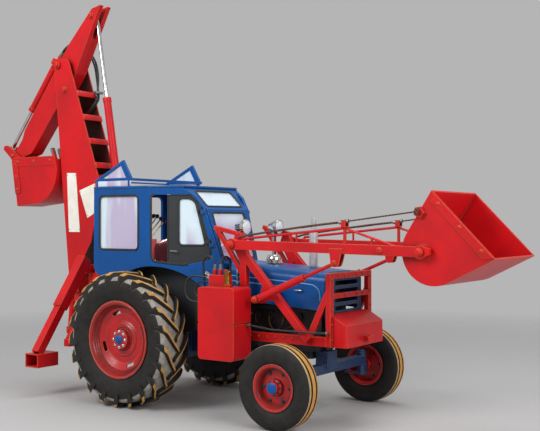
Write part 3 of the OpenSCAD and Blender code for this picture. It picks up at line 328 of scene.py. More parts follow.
def newPiece(name, mesh, finish, body):
    # finish is one name or a list in the order of the mesh's material indices
    data = bpy.data.meshes.new(name)
    bmesh.ops.recalc_face_normals(mesh, faces=mesh.faces)
    mesh.to_mesh(data)
    mesh.free()
    for one in [finish] if isinstance(finish, str) else finish:
        data.materials.append(finishes[one])
    data.shade_smooth()
    data.set_sharp_from_angle(angle=crispAngle)
    piece = bpy.data.objects.new(name, data)
    bpy.context.scene.collection.objects.link(piece)
    if body:
        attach(piece, body)
    return piece


def addRing(mesh, points):
    return [mesh.verts.new(p) for p in points]


def bridge(mesh, rings, closed=False, index=0):
    # quads between neighbouring rings of equal length, each ring closed on itself
    count = len(rings)
    for i in range(count if closed else count - 1):
        low, high = rings[i], rings[(i + 1) % count]
        for j in range(len(low)):
            k = (j + 1) % len(low)
            mesh.faces.new((low[j], low[k], high[k], high[j])).material_index = index


def circle(middle, first, second, radius, steps):
    # points round a circle, from the first direction towards the second
    angles = [2 * math.pi * i / steps for i in range(steps)]
    return [middle + (first * math.cos(a) + second * math.sin(a)) * radius for a in angles]


def lathe(mesh, profile, origin, axis, steps, indices=None, capped=True):
    # turns a profile of (radius, distance along the axis); a tip keeps a pinhole that its cap closes
    axis = Vector(axis).normalized()
    side = axis.orthogonal().normalized()
    over = axis.cross(side)
    pinhole = 0.0004
    rings = []
    for radius, along in profile:
        points = circle(origin + axis * along, side, over, max(radius, pinhole), steps)
        rings.append(addRing(mesh, points))
    for n in range(len(rings) - 1):
        bridge(mesh, rings[n:n + 2], index=indices[n] if indices else 0)
    if capped:
        mesh.faces.new(rings[0])
        mesh.faces.new(rings[-1])


def sweep(mesh, path, section, closed=False, normal=None):
    # carries a closed section of (across, up) offsets along a path
    rings = []
    side = None
    for i, point in enumerate(path):
        before = path[i - 1] if i > 0 or closed else point
        after = path[(i + 1) % len(path)] if i < len(path) - 1 or closed else point
        ahead = (after - before).normalized()
        if normal is not None:
            side = ahead.cross(normal).normalized()
        elif side is None:
            side = ahead.orthogonal().normalized()
        else:
            side = (side - ahead * side.dot(ahead)).normalized()
        over = side.cross(ahead)
        rings.append(addRing(mesh, [point + side * a + over * b for a, b in section]))
    bridge(mesh, rings, closed)
    if not closed:
        mesh.faces.new(rings[0])
        mesh.faces.new(rings[-1])


def roundSection(radius, count):
    angles = [2 * math.pi * i / count for i in range(count)]
    return [(radius * math.cos(a), radius * math.sin(a)) for a in angles]


def stripSection(width, height):
    # a low strip with sloping shoulders, its foot just under the surface
    half, foot = width / 2, -0.001
    flat, shoulder = width * 0.3, height * 0.55
    return [(-half, foot), (-half, shoulder), (-flat, height), (flat, height), (half, shoulder), (half, foot)]


def smoothPath(points, steps):
    # a curve through every point
    made = []
    for i in range(len(points) - 1):
        a, b, c, d = points[max(i - 1, 0)], points[i], points[i + 1], points[min(i + 2, len(points) - 1)]
        for n in range(steps):
            t = n / steps
            squared, cubed = 2 * a - 5 * b + 4 * c - d, 3 * b - a - 3 * c + d
            made.append(0.5 * (2 * b + (c - a) * t + squared * t ** 2 + cubed * t ** 3))
    return made + [points[-1]]


def bentPath(corners, bend, steps=8, spacing=0.05):
    # straight runs joined by bends of one radius, with points no further apart than about the spacing
    made = [corners[0]]
    for before, corner, after in zip(corners, corners[1:], corners[2:]):
        back, ahead = (before - corner).normalized(), (after - corner).normalized()
        half = back.angle(ahead) / 2
        middle = corner + (back + ahead).normalized() * bend / math.sin(half)
        first, last = (corner + way * bend / math.tan(half) - middle for way in (back, ahead))
        made += [middle + first.slerp(last, n / steps) * bend for n in range(steps + 1)]
    made.append(corners[-1])
    path = [made[0]]
    for start, end in zip(made, made[1:]):
        count = max(1, round((end - start).length / spacing))
        path += [start.lerp(end, (n + 1) / count) for n in range(count)]
    return path


def roundedOutline(corners, radius, steps=6):
    # a closed outline with its corners eased, no ease taking more than a given share of a side
    made, most = [], 0.45
    for i, corner in enumerate(corners):
        corner = Vector(corner)
        before, after = Vector(corners[i - 1]) - corner, Vector(corners[(i + 1) % len(corners)]) - corner
        a = corner + before.normalized() * min(radius, before.length * most)
        b = corner + after.normalized() * min(radius, after.length * most)
        for n in range(steps + 1):
            t = n / steps
            made.append(a * (1 - t) ** 2 + corner * 2 * t * (1 - t) + b * t ** 2)
    return made


def block(mesh, centre, size, bevel, turn=Matrix.Identity(3)):
    made = bmesh.ops.create_cube(mesh, size=1.0)["verts"]
    for vert in made:
        vert.co = centre + turn @ Vector(vert.co[i] * size[i] for i in range(3))
    edges = {edge for vert in made for edge in vert.link_edges}
    bmesh.ops.bevel(mesh, geom=list(edges), offset=bevel, segments=2, affect="EDGES", profile=0.5)


def addPlate(mesh, corners, inner, outer):
    # an upright plate between two distances from the middle, its corners as (x, z)
    cornerRadius = 0.012
    outline = roundedOutline(corners, cornerRadius, 3)
    rings = [addRing(mesh, [at(x, y, z) for x, z in outline]) for y in (inner, outer)]
    bridge(mesh, rings)
    for ring in rings:
        mesh.faces.new(ring)


def bolt(mesh, origin, axis, size):
    # a washer and a hexagon head; size is half the width over the head's corners
    washer = [(size * 1.35, -0.001), (size * 1.35, size * 0.18), (size * 1.2, size * 0.22)]
    head = [(size, size * 0.2), (size, size * 0.85), (size * 0.8, size * 0.98)]
    lathe(mesh, washer, origin, axis, 16)
    lathe(mesh, head, origin, axis, 6)


rubbers = ["tyreRubber", "scuffedRubber", "clayRubber"]
rearTread = {
    "radius": 0.705, "carcass": 0.662, "rim": 0.405, "width": 0.36, "steps": 120,
    "drop": 0.02, "shoulder": 0.8,  # how far the crown falls, and the share of the width where it steepens
    # (distance from the rim, share of the width) up the wall, then (distance from the crown, share)
    "wall": [(-0.02, 0.38), (0.004, 0.38), (0.018, 0.40), (0.03, 0.425), (0.05, 0.44),
             (0.09, 0.482), (0.13, 0.498), (0.17, 0.496)],
    "wallTop": [(-0.05, 0.475), (-0.025, 0.44)],
    "crown": [0.8, 0.6, 0.35, 0.0],
    "lugs": 21, "lugWidth": 0.056, "widening": 0.16,
    "lead": 0.33, "curve": 1.25,  # the angle that a lug's outer end trails by, and how it gathers
    "stations": [-0.09, 0.1, 0.3, 0.5, 0.68, 0.84, 0.95, 1.0],  # shares of the half width along a lug
    "endFrom": 0.84, "endTop": 0.03, "endRoot": 0.05, "endOut": 0.01,  # the lug's end slopes down the wall
    "reach": 0.95, "rootReach": 0.97, "heelTurn": 0.03,  # where a lug stops, and how its inner end turns back
    "camber": 0.004, "root": 0.02, "rootSpread": 1.1, "slant": -0.25,
    "face": 0.62, "flare": 0.5,  # the running face's share of the lug's width, and its growth outward
    "ease": 0.006, "easeOut": 0.05, "easeIn": 0.06,  # the face's rounded edges, down, out and in
    "scuffDepth": 0.045,  # how far down from the crown the carcass is scuffed
}


def carcassRadius(share, look):
    # radius of the crown at a share of the half width
    past = max(0.0, share - look["shoulder"]) / (1 - look["shoulder"])
    return look["carcass"] - look["drop"] * share ** 2 - look["drop"] * past


def lugSection(share, start, sign, look):
    # six points across a lug, at a share of the way from the tyre's middle to its edge
    angle = start - look["lead"] * max(share, 0) ** look["curve"] + (look["heelTurn"] if share < 0 else 0)
    sink = max(0.0, share - look["endFrom"]) / (1 - look["endFrom"])
    top = look["radius"] - look["camber"] * share ** 2 - look["endTop"] * sink
    base = carcassRadius(min(abs(share), look["rootReach"]), look) - look["root"] - look["endRoot"] * sink
    spread = look["lugWidth"] * (0.5 + look["widening"] * abs(share))
    face = look["face"] + look["flare"] * max(0.0, share - look["shoulder"])
    across = sign * (min(share, look["reach"]) * look["width"] / 2 + look["endOut"] * sink)
    half = [(base, 1.0), (top - look["ease"], face + look["easeOut"]), (top, face - look["easeIn"])]
    points = []
    for radius, s in [(r, -s) for r, s in half] + half[::-1]:
        turn = angle + s * spread / look["radius"] * (look["rootSpread"] if radius == base else 1.0)
        y = across + sign * s * spread * look["slant"]
        points.append(Vector((radius * math.sin(turn), y, radius * math.cos(turn))))
    return points


def makeRearTyre(name, body, look):
    low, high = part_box(name)
    place = (low + high) / 2
    mesh = bmesh.new()
    wall = [(look["rim"] + rise, share * look["width"]) for rise, share in look["wall"]]
    wall += [(look["carcass"] + rise, share * look["width"]) for rise, share in look["wallTop"]]
    tread = [(carcassRadius(share, look), share * look["width"] / 2) for share in look["crown"]]
    profile = wall + tread + [(r, -y) for r, y in reversed(wall + tread[:-1])]
    rings = []
    for i in range(look["steps"]):
        angle = 2 * math.pi * i / look["steps"]
        turned = [place + Vector((r * math.sin(angle), y, r * math.cos(angle))) for r, y in profile]
        rings.append(addRing(mesh, turned))
    bridge(mesh, rings, closed=True)
    for face in mesh.faces:
        middle = face.calc_center_median() - place
        scuffed = math.hypot(middle.x, middle.z) > look["carcass"] - look["scuffDepth"]
        face.material_index = 1 if scuffed else 0
    for sign in (1, -1):
        for i in range(look["lugs"]):
            start = 2 * math.pi * (i + (0.5 if sign < 0 else 0)) / look["lugs"]  # the two rows alternate
            sections = [lugSection(share, start, sign, look) for share in look["stations"]]
            rings = [addRing(mesh, [place + point for point in section]) for section in sections]
            for inner, outer in zip(rings, rings[1:]):
                for j, rubber in enumerate((0, 0, 2, 2, 0)):
                    face = mesh.faces.new((inner[j], inner[j + 1], outer[j + 1], outer[j]))
                    face.material_index = rubber
            mesh.faces.new(rings[0])
            mesh.faces.new(list(reversed(rings[-1])))
    piece = newPiece(name.replace("_", "") + "Lugged", mesh, rubbers, body)
    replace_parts(piece, name)


for hand in hands:
    makeRearTyre("rear_tyre_" + hand, "rear_wheel_" + hand, rearTread)
print("rear tyres made")

# profiles, beads and groove shades are (radius, distance out from the wheel's middle)
rearHub = {
    "across": 0.805, "height": 0.705, "nuts": 8, "nutRing": 0.08, "nutSeat": 0.1145, "nutSize": 0.0135,
    "cap": [(0.05, 0.119), (0.05, 0.126), (0.045, 0.132), (0.036, 0.134), (0.032, 0.147), (0.015, 0.152),
            (0.0, 0.153)],
    "beads": [(0.168, 0.05), (0.262, 0.042), (0.392, 0.148)], "beadRadius": 0.006,
    "grooveShades": [(0.329, 0.081), (0.341, 0.1), (0.353, 0.119), (0.366, 0.143), (0.122, 0.064)],
    "grooveShadeRadius": 0.0045,
}
frontHub = {
    "ahead": 1.95, "across": 0.87, "height": 0.4,
    "studs": 8, "studRing": 0.068, "studSeat": 0.0555, "studSize": 0.009,
    "nuts": 6, "nutRing": 0.14, "nutSeat": 0.0205, "nutSize": 0.0135,
    "cap": [(0.0535, 0.0635), (0.0535, 0.104), (0.05, 0.112), (0.03, 0.121), (0.0, 0.123)],
    "grooveShades": [(0.164, 0.019), (0.171, 0.041), (0.178, 0.063), (0.19, 0.081)], "grooveShadeRadius": 0.0035,
}
frontTread = {
    # from the bead over the wall, the outer rib and a groove to the middle rib
    "profile": [(0.205, 0.074), (0.228, 0.076), (0.236, 0.085), (0.262, 0.094), (0.30, 0.0995), (0.34, 0.098),
                (0.366, 0.092), (0.382, 0.083), (0.394, 0.074), (0.397, 0.069), (0.3985, 0.051),
                (0.386, 0.0485), (0.384, 0.045), (0.384, 0.031), (0.386, 0.0275), (0.3995, 0.025)],
    "tones": [0] * 8 + [1, 2] + [0] * 5,  # which rubber each band has
    "ribTone": 2,
}


def addHoops(mesh, hub, axis, hoops, radius, sides, steps):
    # round rings about an axle
    for reach, along in hoops:
        path = circle(hub + axis * along, upward, forward, reach, steps)
        sweep(mesh, path, roundSection(radius, sides), True, axis)


for hand, sign in hands.items():
    axis = leftward * sign
    body = "rear_wheel_" + hand
    hub = at(0, sign * rearHub["across"], rearHub["height"])
    nuts, cap, beads, grooveShades = bmesh.new(), bmesh.new(), bmesh.new(), bmesh.new()
    seat = hub + axis * rearHub["nutSeat"]
    for place in circle(seat, upward, forward, rearHub["nutRing"], rearHub["nuts"]):
        bolt(nuts, place, axis, rearHub["nutSize"])
    lathe(cap, rearHub["cap"], hub, axis, 32)
    addHoops(beads, hub, axis, rearHub["beads"], rearHub["beadRadius"], 8, 72)
    # dark red hoops in the disc's grooves are painted shade
    addHoops(grooveShades, hub, axis, rearHub["grooveShades"], rearHub["grooveShadeRadius"], 6, 72)
    newPiece("rearRimGrooveShades" + hand, grooveShades, "stainedRed", body)
    newPiece("rearHubNuts" + hand, nuts, "chrome", body)
    newPiece("rearHubCap" + hand, cap, "blueEnamel", body)
    newPiece("rearDiscBeads" + hand, beads, "wheelEnamel", body)

    body = "front_wheel_" + hand
    hub = at(frontHub["ahead"], sign * frontHub["across"], frontHub["height"])
    studs, cap, grooveShades, tyre = bmesh.new(), bmesh.new(), bmesh.new(), bmesh.new()
    seat = hub + axis * frontHub["studSeat"]
    for place in circle(seat, upward, forward, frontHub["studRing"], frontHub["studs"]):
        bolt(studs, place, axis, frontHub["studSize"])
    seat = hub + axis * frontHub["nutSeat"]
    for place in circle(seat, forward, upward, frontHub["nutRing"], frontHub["nuts"]):
        bolt(studs, place, axis, frontHub["nutSize"])
    # dark red hoops in the disc's grooves are painted shade
    addHoops(grooveShades, hub, axis, frontHub["grooveShades"], frontHub["grooveShadeRadius"], 6, 60)
    newPiece("frontRimGrooveShades" + hand, grooveShades, "stainedRed", body)
    lathe(cap, frontHub["cap"], hub, axis, 32)
    half = frontTread["profile"]
    profile = half + [(r, -y) for r, y in reversed(half)] + half[:1]
    tones = frontTread["tones"] + [frontTread["ribTone"]] + frontTread["tones"][::-1] + [0]
    lathe(tyre, profile, hub, axis, 96, tones, False)
    newPiece("frontStuds" + hand, studs, "oilyIron", body)
    newPiece("frontHubCap" + hand, cap, "blueEnamel", body)
    piece = newPiece("frontTyreRibbed" + hand, tyre, rubbers, body)
    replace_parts(piece, "front_tyre_" + hand)
print("wheels dressed")

cab = {
    "half": 0.61, "bend": 0.12, "taper": math.radians(20.64),
    "sealWidth": 0.022, "sealHeight": 0.007, "trimWidth": 0.014, "trimHeight": 0.006, "doorSet": -0.005,
    "trimScale": 0.97, "trimShift": 0.012,  # these draw the door's trim in from its edge
    "sideCorner": 0.055, "doorCorner": 0.05, "trimCorner": 0.03, "doorwayCorner": 0.045,
    # (x, z) on the straight part of the side
    "sideLight": [(-0.594, 1.625), (-0.024, 1.625), (-0.024, 2.21), (-0.594, 2.21)],
    # (distance along the tapering part, height)
    "doorLight": [(0.339, 1.68), (0.64, 1.68), (0.53, 2.128), (0.47, 2.175), (0.339, 2.175)],
    "doorEdge": [(0.213, 1.498), (0.396, 1.48), (0.67, 1.532), (0.703, 1.602), (0.556, 2.131), (0.466, 2.209),
                 (0.213, 2.209)],
    # the first and last of these only give the strip's ends their direction
    "doorway": [(0.66, 1.523), (0.396, 1.474), (0.06, 1.507), (0.032, 1.57), (0.032, 2.215), (0.455, 2.215)],
    # (distance along, height, distance out)
    "handle": [(0.252, 1.62, -0.006), (0.252, 1.62, 0.02), (0.262, 1.62, 0.033), (0.30, 1.62, 0.036),
               (0.335, 1.618, 0.032)],
    "handleRadius": 0.007,
}
screens = {
    # foot is a point (x, z) on the pane's plane, and rise is the plane's slope
    "lower": {"half": 0.28, "low": 1.54, "high": 2.025, "corner": 0.035,
              "foot": (0.89, 1.49), "rise": (-0.18, 0.57)},
    "upper": {"half": 0.31, "low": 2.09, "high": 2.255, "corner": 0.025,
              "foot": (0.71, 2.06), "rise": (-0.23, 0.225)},
}
roof = {
    "back": -0.68, "front": 0.48, "corner": 0.02, "gutterHeight": 2.289,
    "gutter": [(-0.006, 0), (-0.006, 0.02), (0.009, 0.02), (0.011, 0.008), (0.007, 0)],
    "skirtCentre": (-0.385, 0.598, 2.343), "skirtSize": (0.5, 0.004, 0.058), "skirtBevel": 0.001,
}


def wallPoint(s, h, out, sign):
    # a point on the cab's tapering side: distance along it from the bend, height and distance out
    ahead, inward = math.cos(cab["taper"]), math.sin(cab["taper"])
    return at(cab["bend"] + s * ahead + out * inward, sign * (cab["half"] - s * inward + out * ahead), h)


def wallPath(corners, radius, out, sign):
    return [wallPoint(s, h, out, sign) for s, h in roundedOutline(corners, radius)]


seal = stripSection(cab["sealWidth"], cab["sealHeight"])
doorTrim = stripSection(cab["trimWidth"], cab["trimHeight"])
doorInset = [(s * cab["trimScale"] + cab["trimShift"], h) for s, h in cab["doorEdge"]]
arcPoints = 7  # on each eased corner of an outline
for hand, sign in hands.items():
    seals, doorSeals, handle = bmesh.new(), bmesh.new(), bmesh.new()
    outward = Vector((math.sin(cab["taper"]), sign * math.cos(cab["taper"]), 0))
    sideLight = [at(x, sign * cab["half"], z) for x, z in roundedOutline(cab["sideLight"], cab["sideCorner"])]
    sweep(seals, sideLight, seal, True, leftward * sign)
    doorLight = wallPath(cab["doorLight"], cab["doorCorner"], cab["doorSet"], sign)
    sweep(doorSeals, doorLight, seal, True, outward)
    doorEdge = wallPath(doorInset, cab["trimCorner"], cab["doorSet"], sign)
    sweep(doorSeals, doorEdge, doorTrim, True, outward)
    grip = [wallPoint(s, h, out, sign) for s, h, out in cab["handle"]]
    sweep(handle, smoothPath(grip, 5), roundSection(cab["handleRadius"], 10))
    doorway = wallPath(cab["doorway"], cab["doorwayCorner"], 0.0, sign)
    sweep(seals, doorway[arcPoints:-arcPoints], seal, False, outward)
    newPiece("windowSeal" + hand, seals, "hoseRubber", "chassis")
    newPiece("doorSeal" + hand, doorSeals, "hoseRubber", "door_" + hand)
    newPiece("doorHandle" + hand, handle, "chrome", "door_" + hand)
frontSeals = bmesh.new()
for pane in screens.values():
    half, low, high = pane["half"], pane["low"], pane["high"]
    (footX, footZ), (riseX, riseZ) = pane["foot"], pane["rise"]
    outline = roundedOutline([(-half, low), (half, low), (half, high), (-half, high)], pane["corner"])
    path = [at(footX + (z - footZ) * riseX / riseZ, y, z) for y, z in outline]
    sweep(frontSeals, path, seal, True, Vector((riseZ, 0, -riseX)).normalized())
newPiece("screenSeals", frontSeals, "hoseRubber", "chassis")
skirts = bmesh.new()
skirtX, skirtY, skirtZ = roof["skirtCentre"]
for sign in hands.values():
    block(skirts, at(skirtX, sign * skirtY, skirtZ), roof["skirtSize"], roof["skirtBevel"])
newPiece("roofSkirts", skirts, "paleGlass", "chassis")
gutter = bmesh.new()
eave = cab["half"] - (roof["front"] - cab["bend"]) * math.tan(cab["taper"])
rightEdge = [(roof["back"], -cab["half"]), (cab["bend"], -cab["half"]), (roof["front"], -eave)]
roofEdge = roundedOutline(rightEdge + [(x, -y) for x, y in reversed(rightEdge)], roof["corner"], 3)
sweep(gutter, [at(x, y, roof["gutterHeight"]) for x, y in roofEdge], roof["gutter"], True, upward)
newPiece("roofGutter", gutter, "blueEnamel", "chassis")
print("cab sealed")

cushions = {
    "seatCushion": {"centre": (-0.26, 0, 1.352), "size": (0.4, 0.5, 0.084), "crown": 0.12},
    "seatBack": {"centre": (-0.11, 0, 1.572), "size": (0.08, 0.48, 0.316), "crown": 0.0},
}
seatPiping = {
    "low": (-0.452, -0.243), "high": (-0.068, 0.243), "height": 1.355, "corner": 0.08, "radius": 0.006,
}
seatPedestal = [
    # centre, size and bevel of its post, pan and back bracket
    ((-0.26, 0, 1.165), (0.14, 0.12, 0.258), 0.008),
    ((-0.26, 0, 1.302), (0.34, 0.4, 0.016), 0.004),
    ((-0.11, 0, 1.4), (0.03, 0.3, 0.05), 0.004),
]


def pillow(mesh, centre, size, crown):
    # a crowned cushion whose sides pull in between its corners
    squareness, edgeShare, pullIn = 5, 0.72, 0.03
    bmesh.ops.create_cube(mesh, size=2.0)
    bmesh.ops.subdivide_edges(mesh, edges=mesh.edges[:], cuts=14, use_grid_fill=True)
    for vert in mesh.verts:
        p = vert.co.copy()
        p /= sum(abs(way) ** squareness for way in p) ** (1 / squareness)
        dome = (1 - p.x ** 2) * (1 - p.y ** 2)
        p.z = p.z * (edgeShare + (1 - edgeShare) * dome) + crown * dome
        pull = 1 - pullIn * (1 - p.z ** 2)
        vert.co = centre + Vector((p.x * pull * size[0] / 2, p.y * pull * size[1] / 2, p.z * size[2] / 2))


for name, cushion in cushions.items():
    mesh = bmesh.new()
    pillow(mesh, at(*cushion["centre"]), cushion["size"], cushion["crown"])
    piece = newPiece(name, mesh, "seatVinyl", "chassis")
    if name == "seatCushion":
        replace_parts(piece, "seat")
        piping = bmesh.new()
        (lowX, lowY), (highX, highY) = seatPiping["low"], seatPiping["high"]
        corners = [(lowX, lowY), (highX, lowY), (highX, highY), (lowX, highY)]
        edge = roundedOutline(corners, seatPiping["corner"], 8)
        path = [at(x, y, seatPiping["height"]) for x, y in edge]
        sweep(piping, path, roundSection(seatPiping["radius"], 8), True, upward)
        newPiece("seatPiping", piping, "hoseRubber", "chassis")
pedestal = bmesh.new()
for centre, size, bevel in seatPedestal:
    block(pedestal, at(*centre), size, bevel)
newPiece("seatPedestal", pedestal, "charcoalPaint", "chassis")

leverBank = {
    "count": 5, "radius": 0.008, "foot": (-0.55, -0.16, 1.722), "footStep": 0.08,
    "head": (-0.45, 0.06, 1.965), "headStep": 0.062,
    "headWave": 0.03, "wavePhase": 1.1,  # the heads stand unevenly, as in use
    "knob": [(0.007, -0.024), (0.019, -0.014), (0.025, 0.004), (0.019, 0.021), (0.0, 0.028)],
    "boot": [(0.022, 0.0), (0.018, 0.012), (0.009, 0.03)],
    "standCentre": (-0.545, 0, 1.381), "standSize": (0.11, 0.46, 0.69), "standBevel": 0.012,
}
levers, knobs, stand = bmesh.new(), bmesh.new(), bmesh.new()
block(stand, at(*leverBank["standCentre"]), leverBank["standSize"], leverBank["standBevel"])
for i in range(leverBank["count"]):
    x, y, z = leverBank["foot"]
    foot = at(x, y + leverBank["footStep"] * i, z)
    x, y, z = leverBank["head"]
    rise = leverBank["headWave"] * math.sin(i * leverBank["wavePhase"])
    head = at(x, y + leverBank["headStep"] * i, z + rise)
    sweep(levers, [foot, head], roundSection(leverBank["radius"], 10))
    lathe(knobs, leverBank["knob"], head, upward, 18)
    lathe(knobs, leverBank["boot"], foot, upward, 18)
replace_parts(newPiece("leverStand", stand, "seatVinyl", "chassis"), "lever_console")
newPiece("levers", levers, "creamPaint", "chassis")
newPiece("leverKnobs", knobs, "hoseRubber", "chassis")
print("seat and levers made")

headlamp = {
    "face": (1.18, 0.3, 1.872), "bezel": 0.072, "bezelRadius": 0.007,
    "lens": [(0.068, -0.004), (0.067, 0.004), (0.05, 0.014), (0.025, 0.02), (0.0, 0.022)],
    "bolt": (1.1, 0.342, 1.8), "boltSize": 0.01,
}
lenses, bezels, lampBolts = bmesh.new(), bmesh.new(), bmesh.new()
for sign in hands.values():
    x, y, z = headlamp["face"]
    face = at(x, sign * y, z)
    lathe(lenses, headlamp["lens"], face, forward, 40)
    rim = circle(face, upward, leftward, headlamp["bezel"], 48)
    sweep(bezels, rim, roundSection(headlamp["bezelRadius"], 8), True, forward)
    x, y, z = headlamp["bolt"]
    bolt(lampBolts, at(x, sign * y, z), leftward * sign, headlamp["boltSize"])
newPiece("lampLenses", lenses, "lampGlass", "chassis")
newPiece("lampBezels", bezels, "chrome", "chassis")
newPiece("lampBolts", lampBolts, "zincSteel", "chassis")
print("lamps glazed")

# (distance outside the hose, distance along it) of a hexagon nut and a crimped sleeve
hoseEnd = {"nut": [(0.008, 0.0), (0.008, 0.018)], "sleeve": [(0.004, 0.016), (0.004, 0.045), (0.001, 0.048)]}
fittings = {body: bmesh.new() for body in ("chassis", "boom", "dipper")}


def addFittings(path, radius, startBody, endBody):
    for body, end, inner in ((startBody, path[0], path[1]), (endBody, path[-1], path[-2])):
        for profile, steps in ((hoseEnd["nut"], 6), (hoseEnd["sleeve"], 16)):
            lathe(fittings[body], [(radius + out, along) for out, along in profile], end, inner - end, steps)


hoseRadius = 0.01
hoseRuns = {
    # bend radius, then the corners between straight runs
    "tankReturnHose": (0.084, [
        (0.995, -0.585, 1.451), (0.995, -0.585, 1.575), (0.825, -0.57, 1.575), (0.84, -0.5, 0.785),
        (0.84, -0.411, 0.785)]),
    "pumpHose": (0.085, [
        (1.065, -0.585, 1.451), (1.065, -0.585, 1.575), (1.06, -0.41, 1.575), (1.06, -0.41, 1.35),
        (1.16, -0.41, 0.985), (1.16, -0.151, 0.985)]),
    "guardHose": (0.082, [
        (1.368, -0.56, 0.905), (1.45, -0.56, 0.905), (1.62, -0.495, 0.872), (2.215, -0.495, 0.872),
        (2.215, -0.411, 0.872)]),
    "valveLoopHose": (0.115, [
        (0.959, -0.61, 1.355), (0.89, -0.61, 1.37), (0.655, -0.64, 1.385), (0.655, -0.65, 1.125),
        (0.924, -0.63, 1.11)]),
    "valveReturnHose": (0.083, [
        (0.959, -0.57, 1.315), (0.745, -0.585, 1.325), (0.745, -0.595, 1.15), (0.924, -0.6, 1.15)]),
}
for name, (bend, corners) in hoseRuns.items():
    path = bentPath([at(*corner) for corner in corners], bend)
    tube = bmesh.new()
    sweep(tube, path, roundSection(hoseRadius, 16))
    piece = newPiece(name, tube, "hoseRubber", "chassis")
    if name == "tankReturnHose":
        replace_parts(piece, "pipework")
    addFittings(path, hoseRadius, "chassis", "chassis")

loopRadius = 0.012
loopPoints = [
    # the last number is how much of the second hose's inward shift it takes there
    (-1.6455, 0.03, 3.17, 0), (-1.595, 0.03, 3.172, 0), (-1.52, 0.04, 3.197, 0), (-1.44, 0.062, 3.27, 0),
    (-1.382, 0.092, 3.355, 0), (-1.375, 0.13, 3.425, 0), (-1.4, 0.165, 3.51, 0.3), (-1.4, 0.178, 3.69, 1),
    (-1.445, 0.18, 3.875, 1), (-1.56, 0.177, 4.03, 0.8), (-1.64, 0.165, 4.1, 0.5), (-1.703, 0.14, 4.135, 0.3),
    (-1.783, 0.095, 4.125, 0), (-1.8504, 0.062, 4.073, 0), (-1.885, 0.053, 4.0304, 0),
    (-1.9198, 0.05, 3.9877, 0),
]
loopHoses = {
    "dipperLoopHose": {"aside": 0.0, "inward": 0.0, "drop": 0.0},
    "bucketLoopHose": {"aside": 0.03, "inward": 0.055, "drop": 0.0165},
}
for name, shift in loopHoses.items():
    places = []
    for x, y, z, share in loopPoints:
        places.append(at(x - shift["inward"] * share, y + shift["aside"], z - shift["drop"] * share))
    path = smoothPath(places, 8)
    tube = bmesh.new()
    sweep(tube, path, roundSection(loopRadius, 14))
    piece = newPiece(name, tube, "hoseRubber", None)
    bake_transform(piece)
    addFittings(path, loopRadius, "boom", "dipper")
for body, mesh in fittings.items():
    newPiece(body + "HoseFittings", mesh, "zincSteel", body)

hoseBlock = {
    "centre": (-1.9287, 0.064, 3.964), "size": (0.048, 0.066, 0.05), "bevel": 0.004,
    "lean": math.atan2(0.7757, 0.6311),  # square to the hoses that end in it
}
manifold = bmesh.new()
turn = Matrix.Rotation(-hoseBlock["lean"], 3, "Y")
block(manifold, at(*hoseBlock["centre"]), hoseBlock["size"], hoseBlock["bevel"], turn)
newPiece("hoseManifold", manifold, "redEnamel", "dipper")
print("hoses run")

ladder = {
    "foot": (-1.074, 2.482), "rise": (-0.488, 1.383),  # (x, z) up the middle of the boom
    "shares": (0.08, 0.29, 0.5, 0.71), "size": (0.02, 0.304, 0.07), "bevel": 0.003,
}
rungs = bmesh.new()
(footX, footZ), (riseX, riseZ) = ladder["foot"], ladder["rise"]
lean = Matrix.Rotation(math.atan2(riseX, riseZ), 3, "Y")
for share in ladder["shares"]:
    block(rungs, at(footX + riseX * share, 0, footZ + riseZ * share), ladder["size"], ladder["bevel"], lean)
newPiece("ladderRungs", rungs, "redEnamel", "boom")

hoseClamp = {
    "centre": (-1.404, 0.178, 3.5), "size": (0.092, 0.098, 0.03), "bevel": 0.005,
    "bolt": (-1.435, 0.16, 3.515), "boltSize": 0.01,
}
clamp = bmesh.new()
block(clamp, at(*hoseClamp["centre"]), hoseClamp["size"], hoseClamp["bevel"])
bolt(clamp, at(*hoseClamp["bolt"]), upward, hoseClamp["boltSize"])
newPiece("hoseClamp", clamp, "zincSteel", "boom")

plates = {
    # body, how far out it starts and ends, corners as (x, z); a row of bolts runs the way of the first side
    "bucketWearStrips": ("loader_bucket", 0.499, 0.509, [
        (3.335, 2.19), (3.89, 1.622), (3.8, 1.607), (3.315, 2.105)]),
    "diggerEdgeStraps": ("digging_bucket", 0.199, 0.211, [
        (-2.43, 2.695), (-2.36, 2.29), (-2.45, 2.27), (-2.521, 2.695)]),
    "diggerTopBands": ("digging_bucket", 0.199, 0.206, [
        (-2.515, 2.727), (-1.752, 2.727), (-1.736, 2.615), (-2.497, 2.615)]),
}
plateBolts = {"shares": (0.12, 0.5, 0.88), "size": 0.013}
for name, (body, inner, outer, corners) in plates.items():
    mesh = bmesh.new()
    a, b, c, d = (Vector(corner) for corner in corners)
    for sign in hands.values():
        addPlate(mesh, corners, sign * inner, sign * outer)
        for share in plateBolts["shares"]:
            spot = ((a + d) / 2).lerp((b + c) / 2, share)
            bolt(mesh, at(spot.x, sign * outer, spot.y), leftward * sign, plateBolts["size"])
    newPiece(name, mesh, "redEnamel", body)

backRope = {
    "across": 0.55, "radius": 0.011,
    "points": [(2.455, 1.925), (2.1, 1.888), (1.7, 1.838), (1.36, 1.79), (1.26, 1.765)],
}
ropes = bmesh.new()
for sign in hands.values():
    path = smoothPath([at(x, sign * backRope["across"], z) for x, z in backRope["points"]], 10)
    sweep(ropes, path, roundSection(backRope["radius"], 10))
newPiece("backRopes", ropes, "greasedRope", "loader_arms")

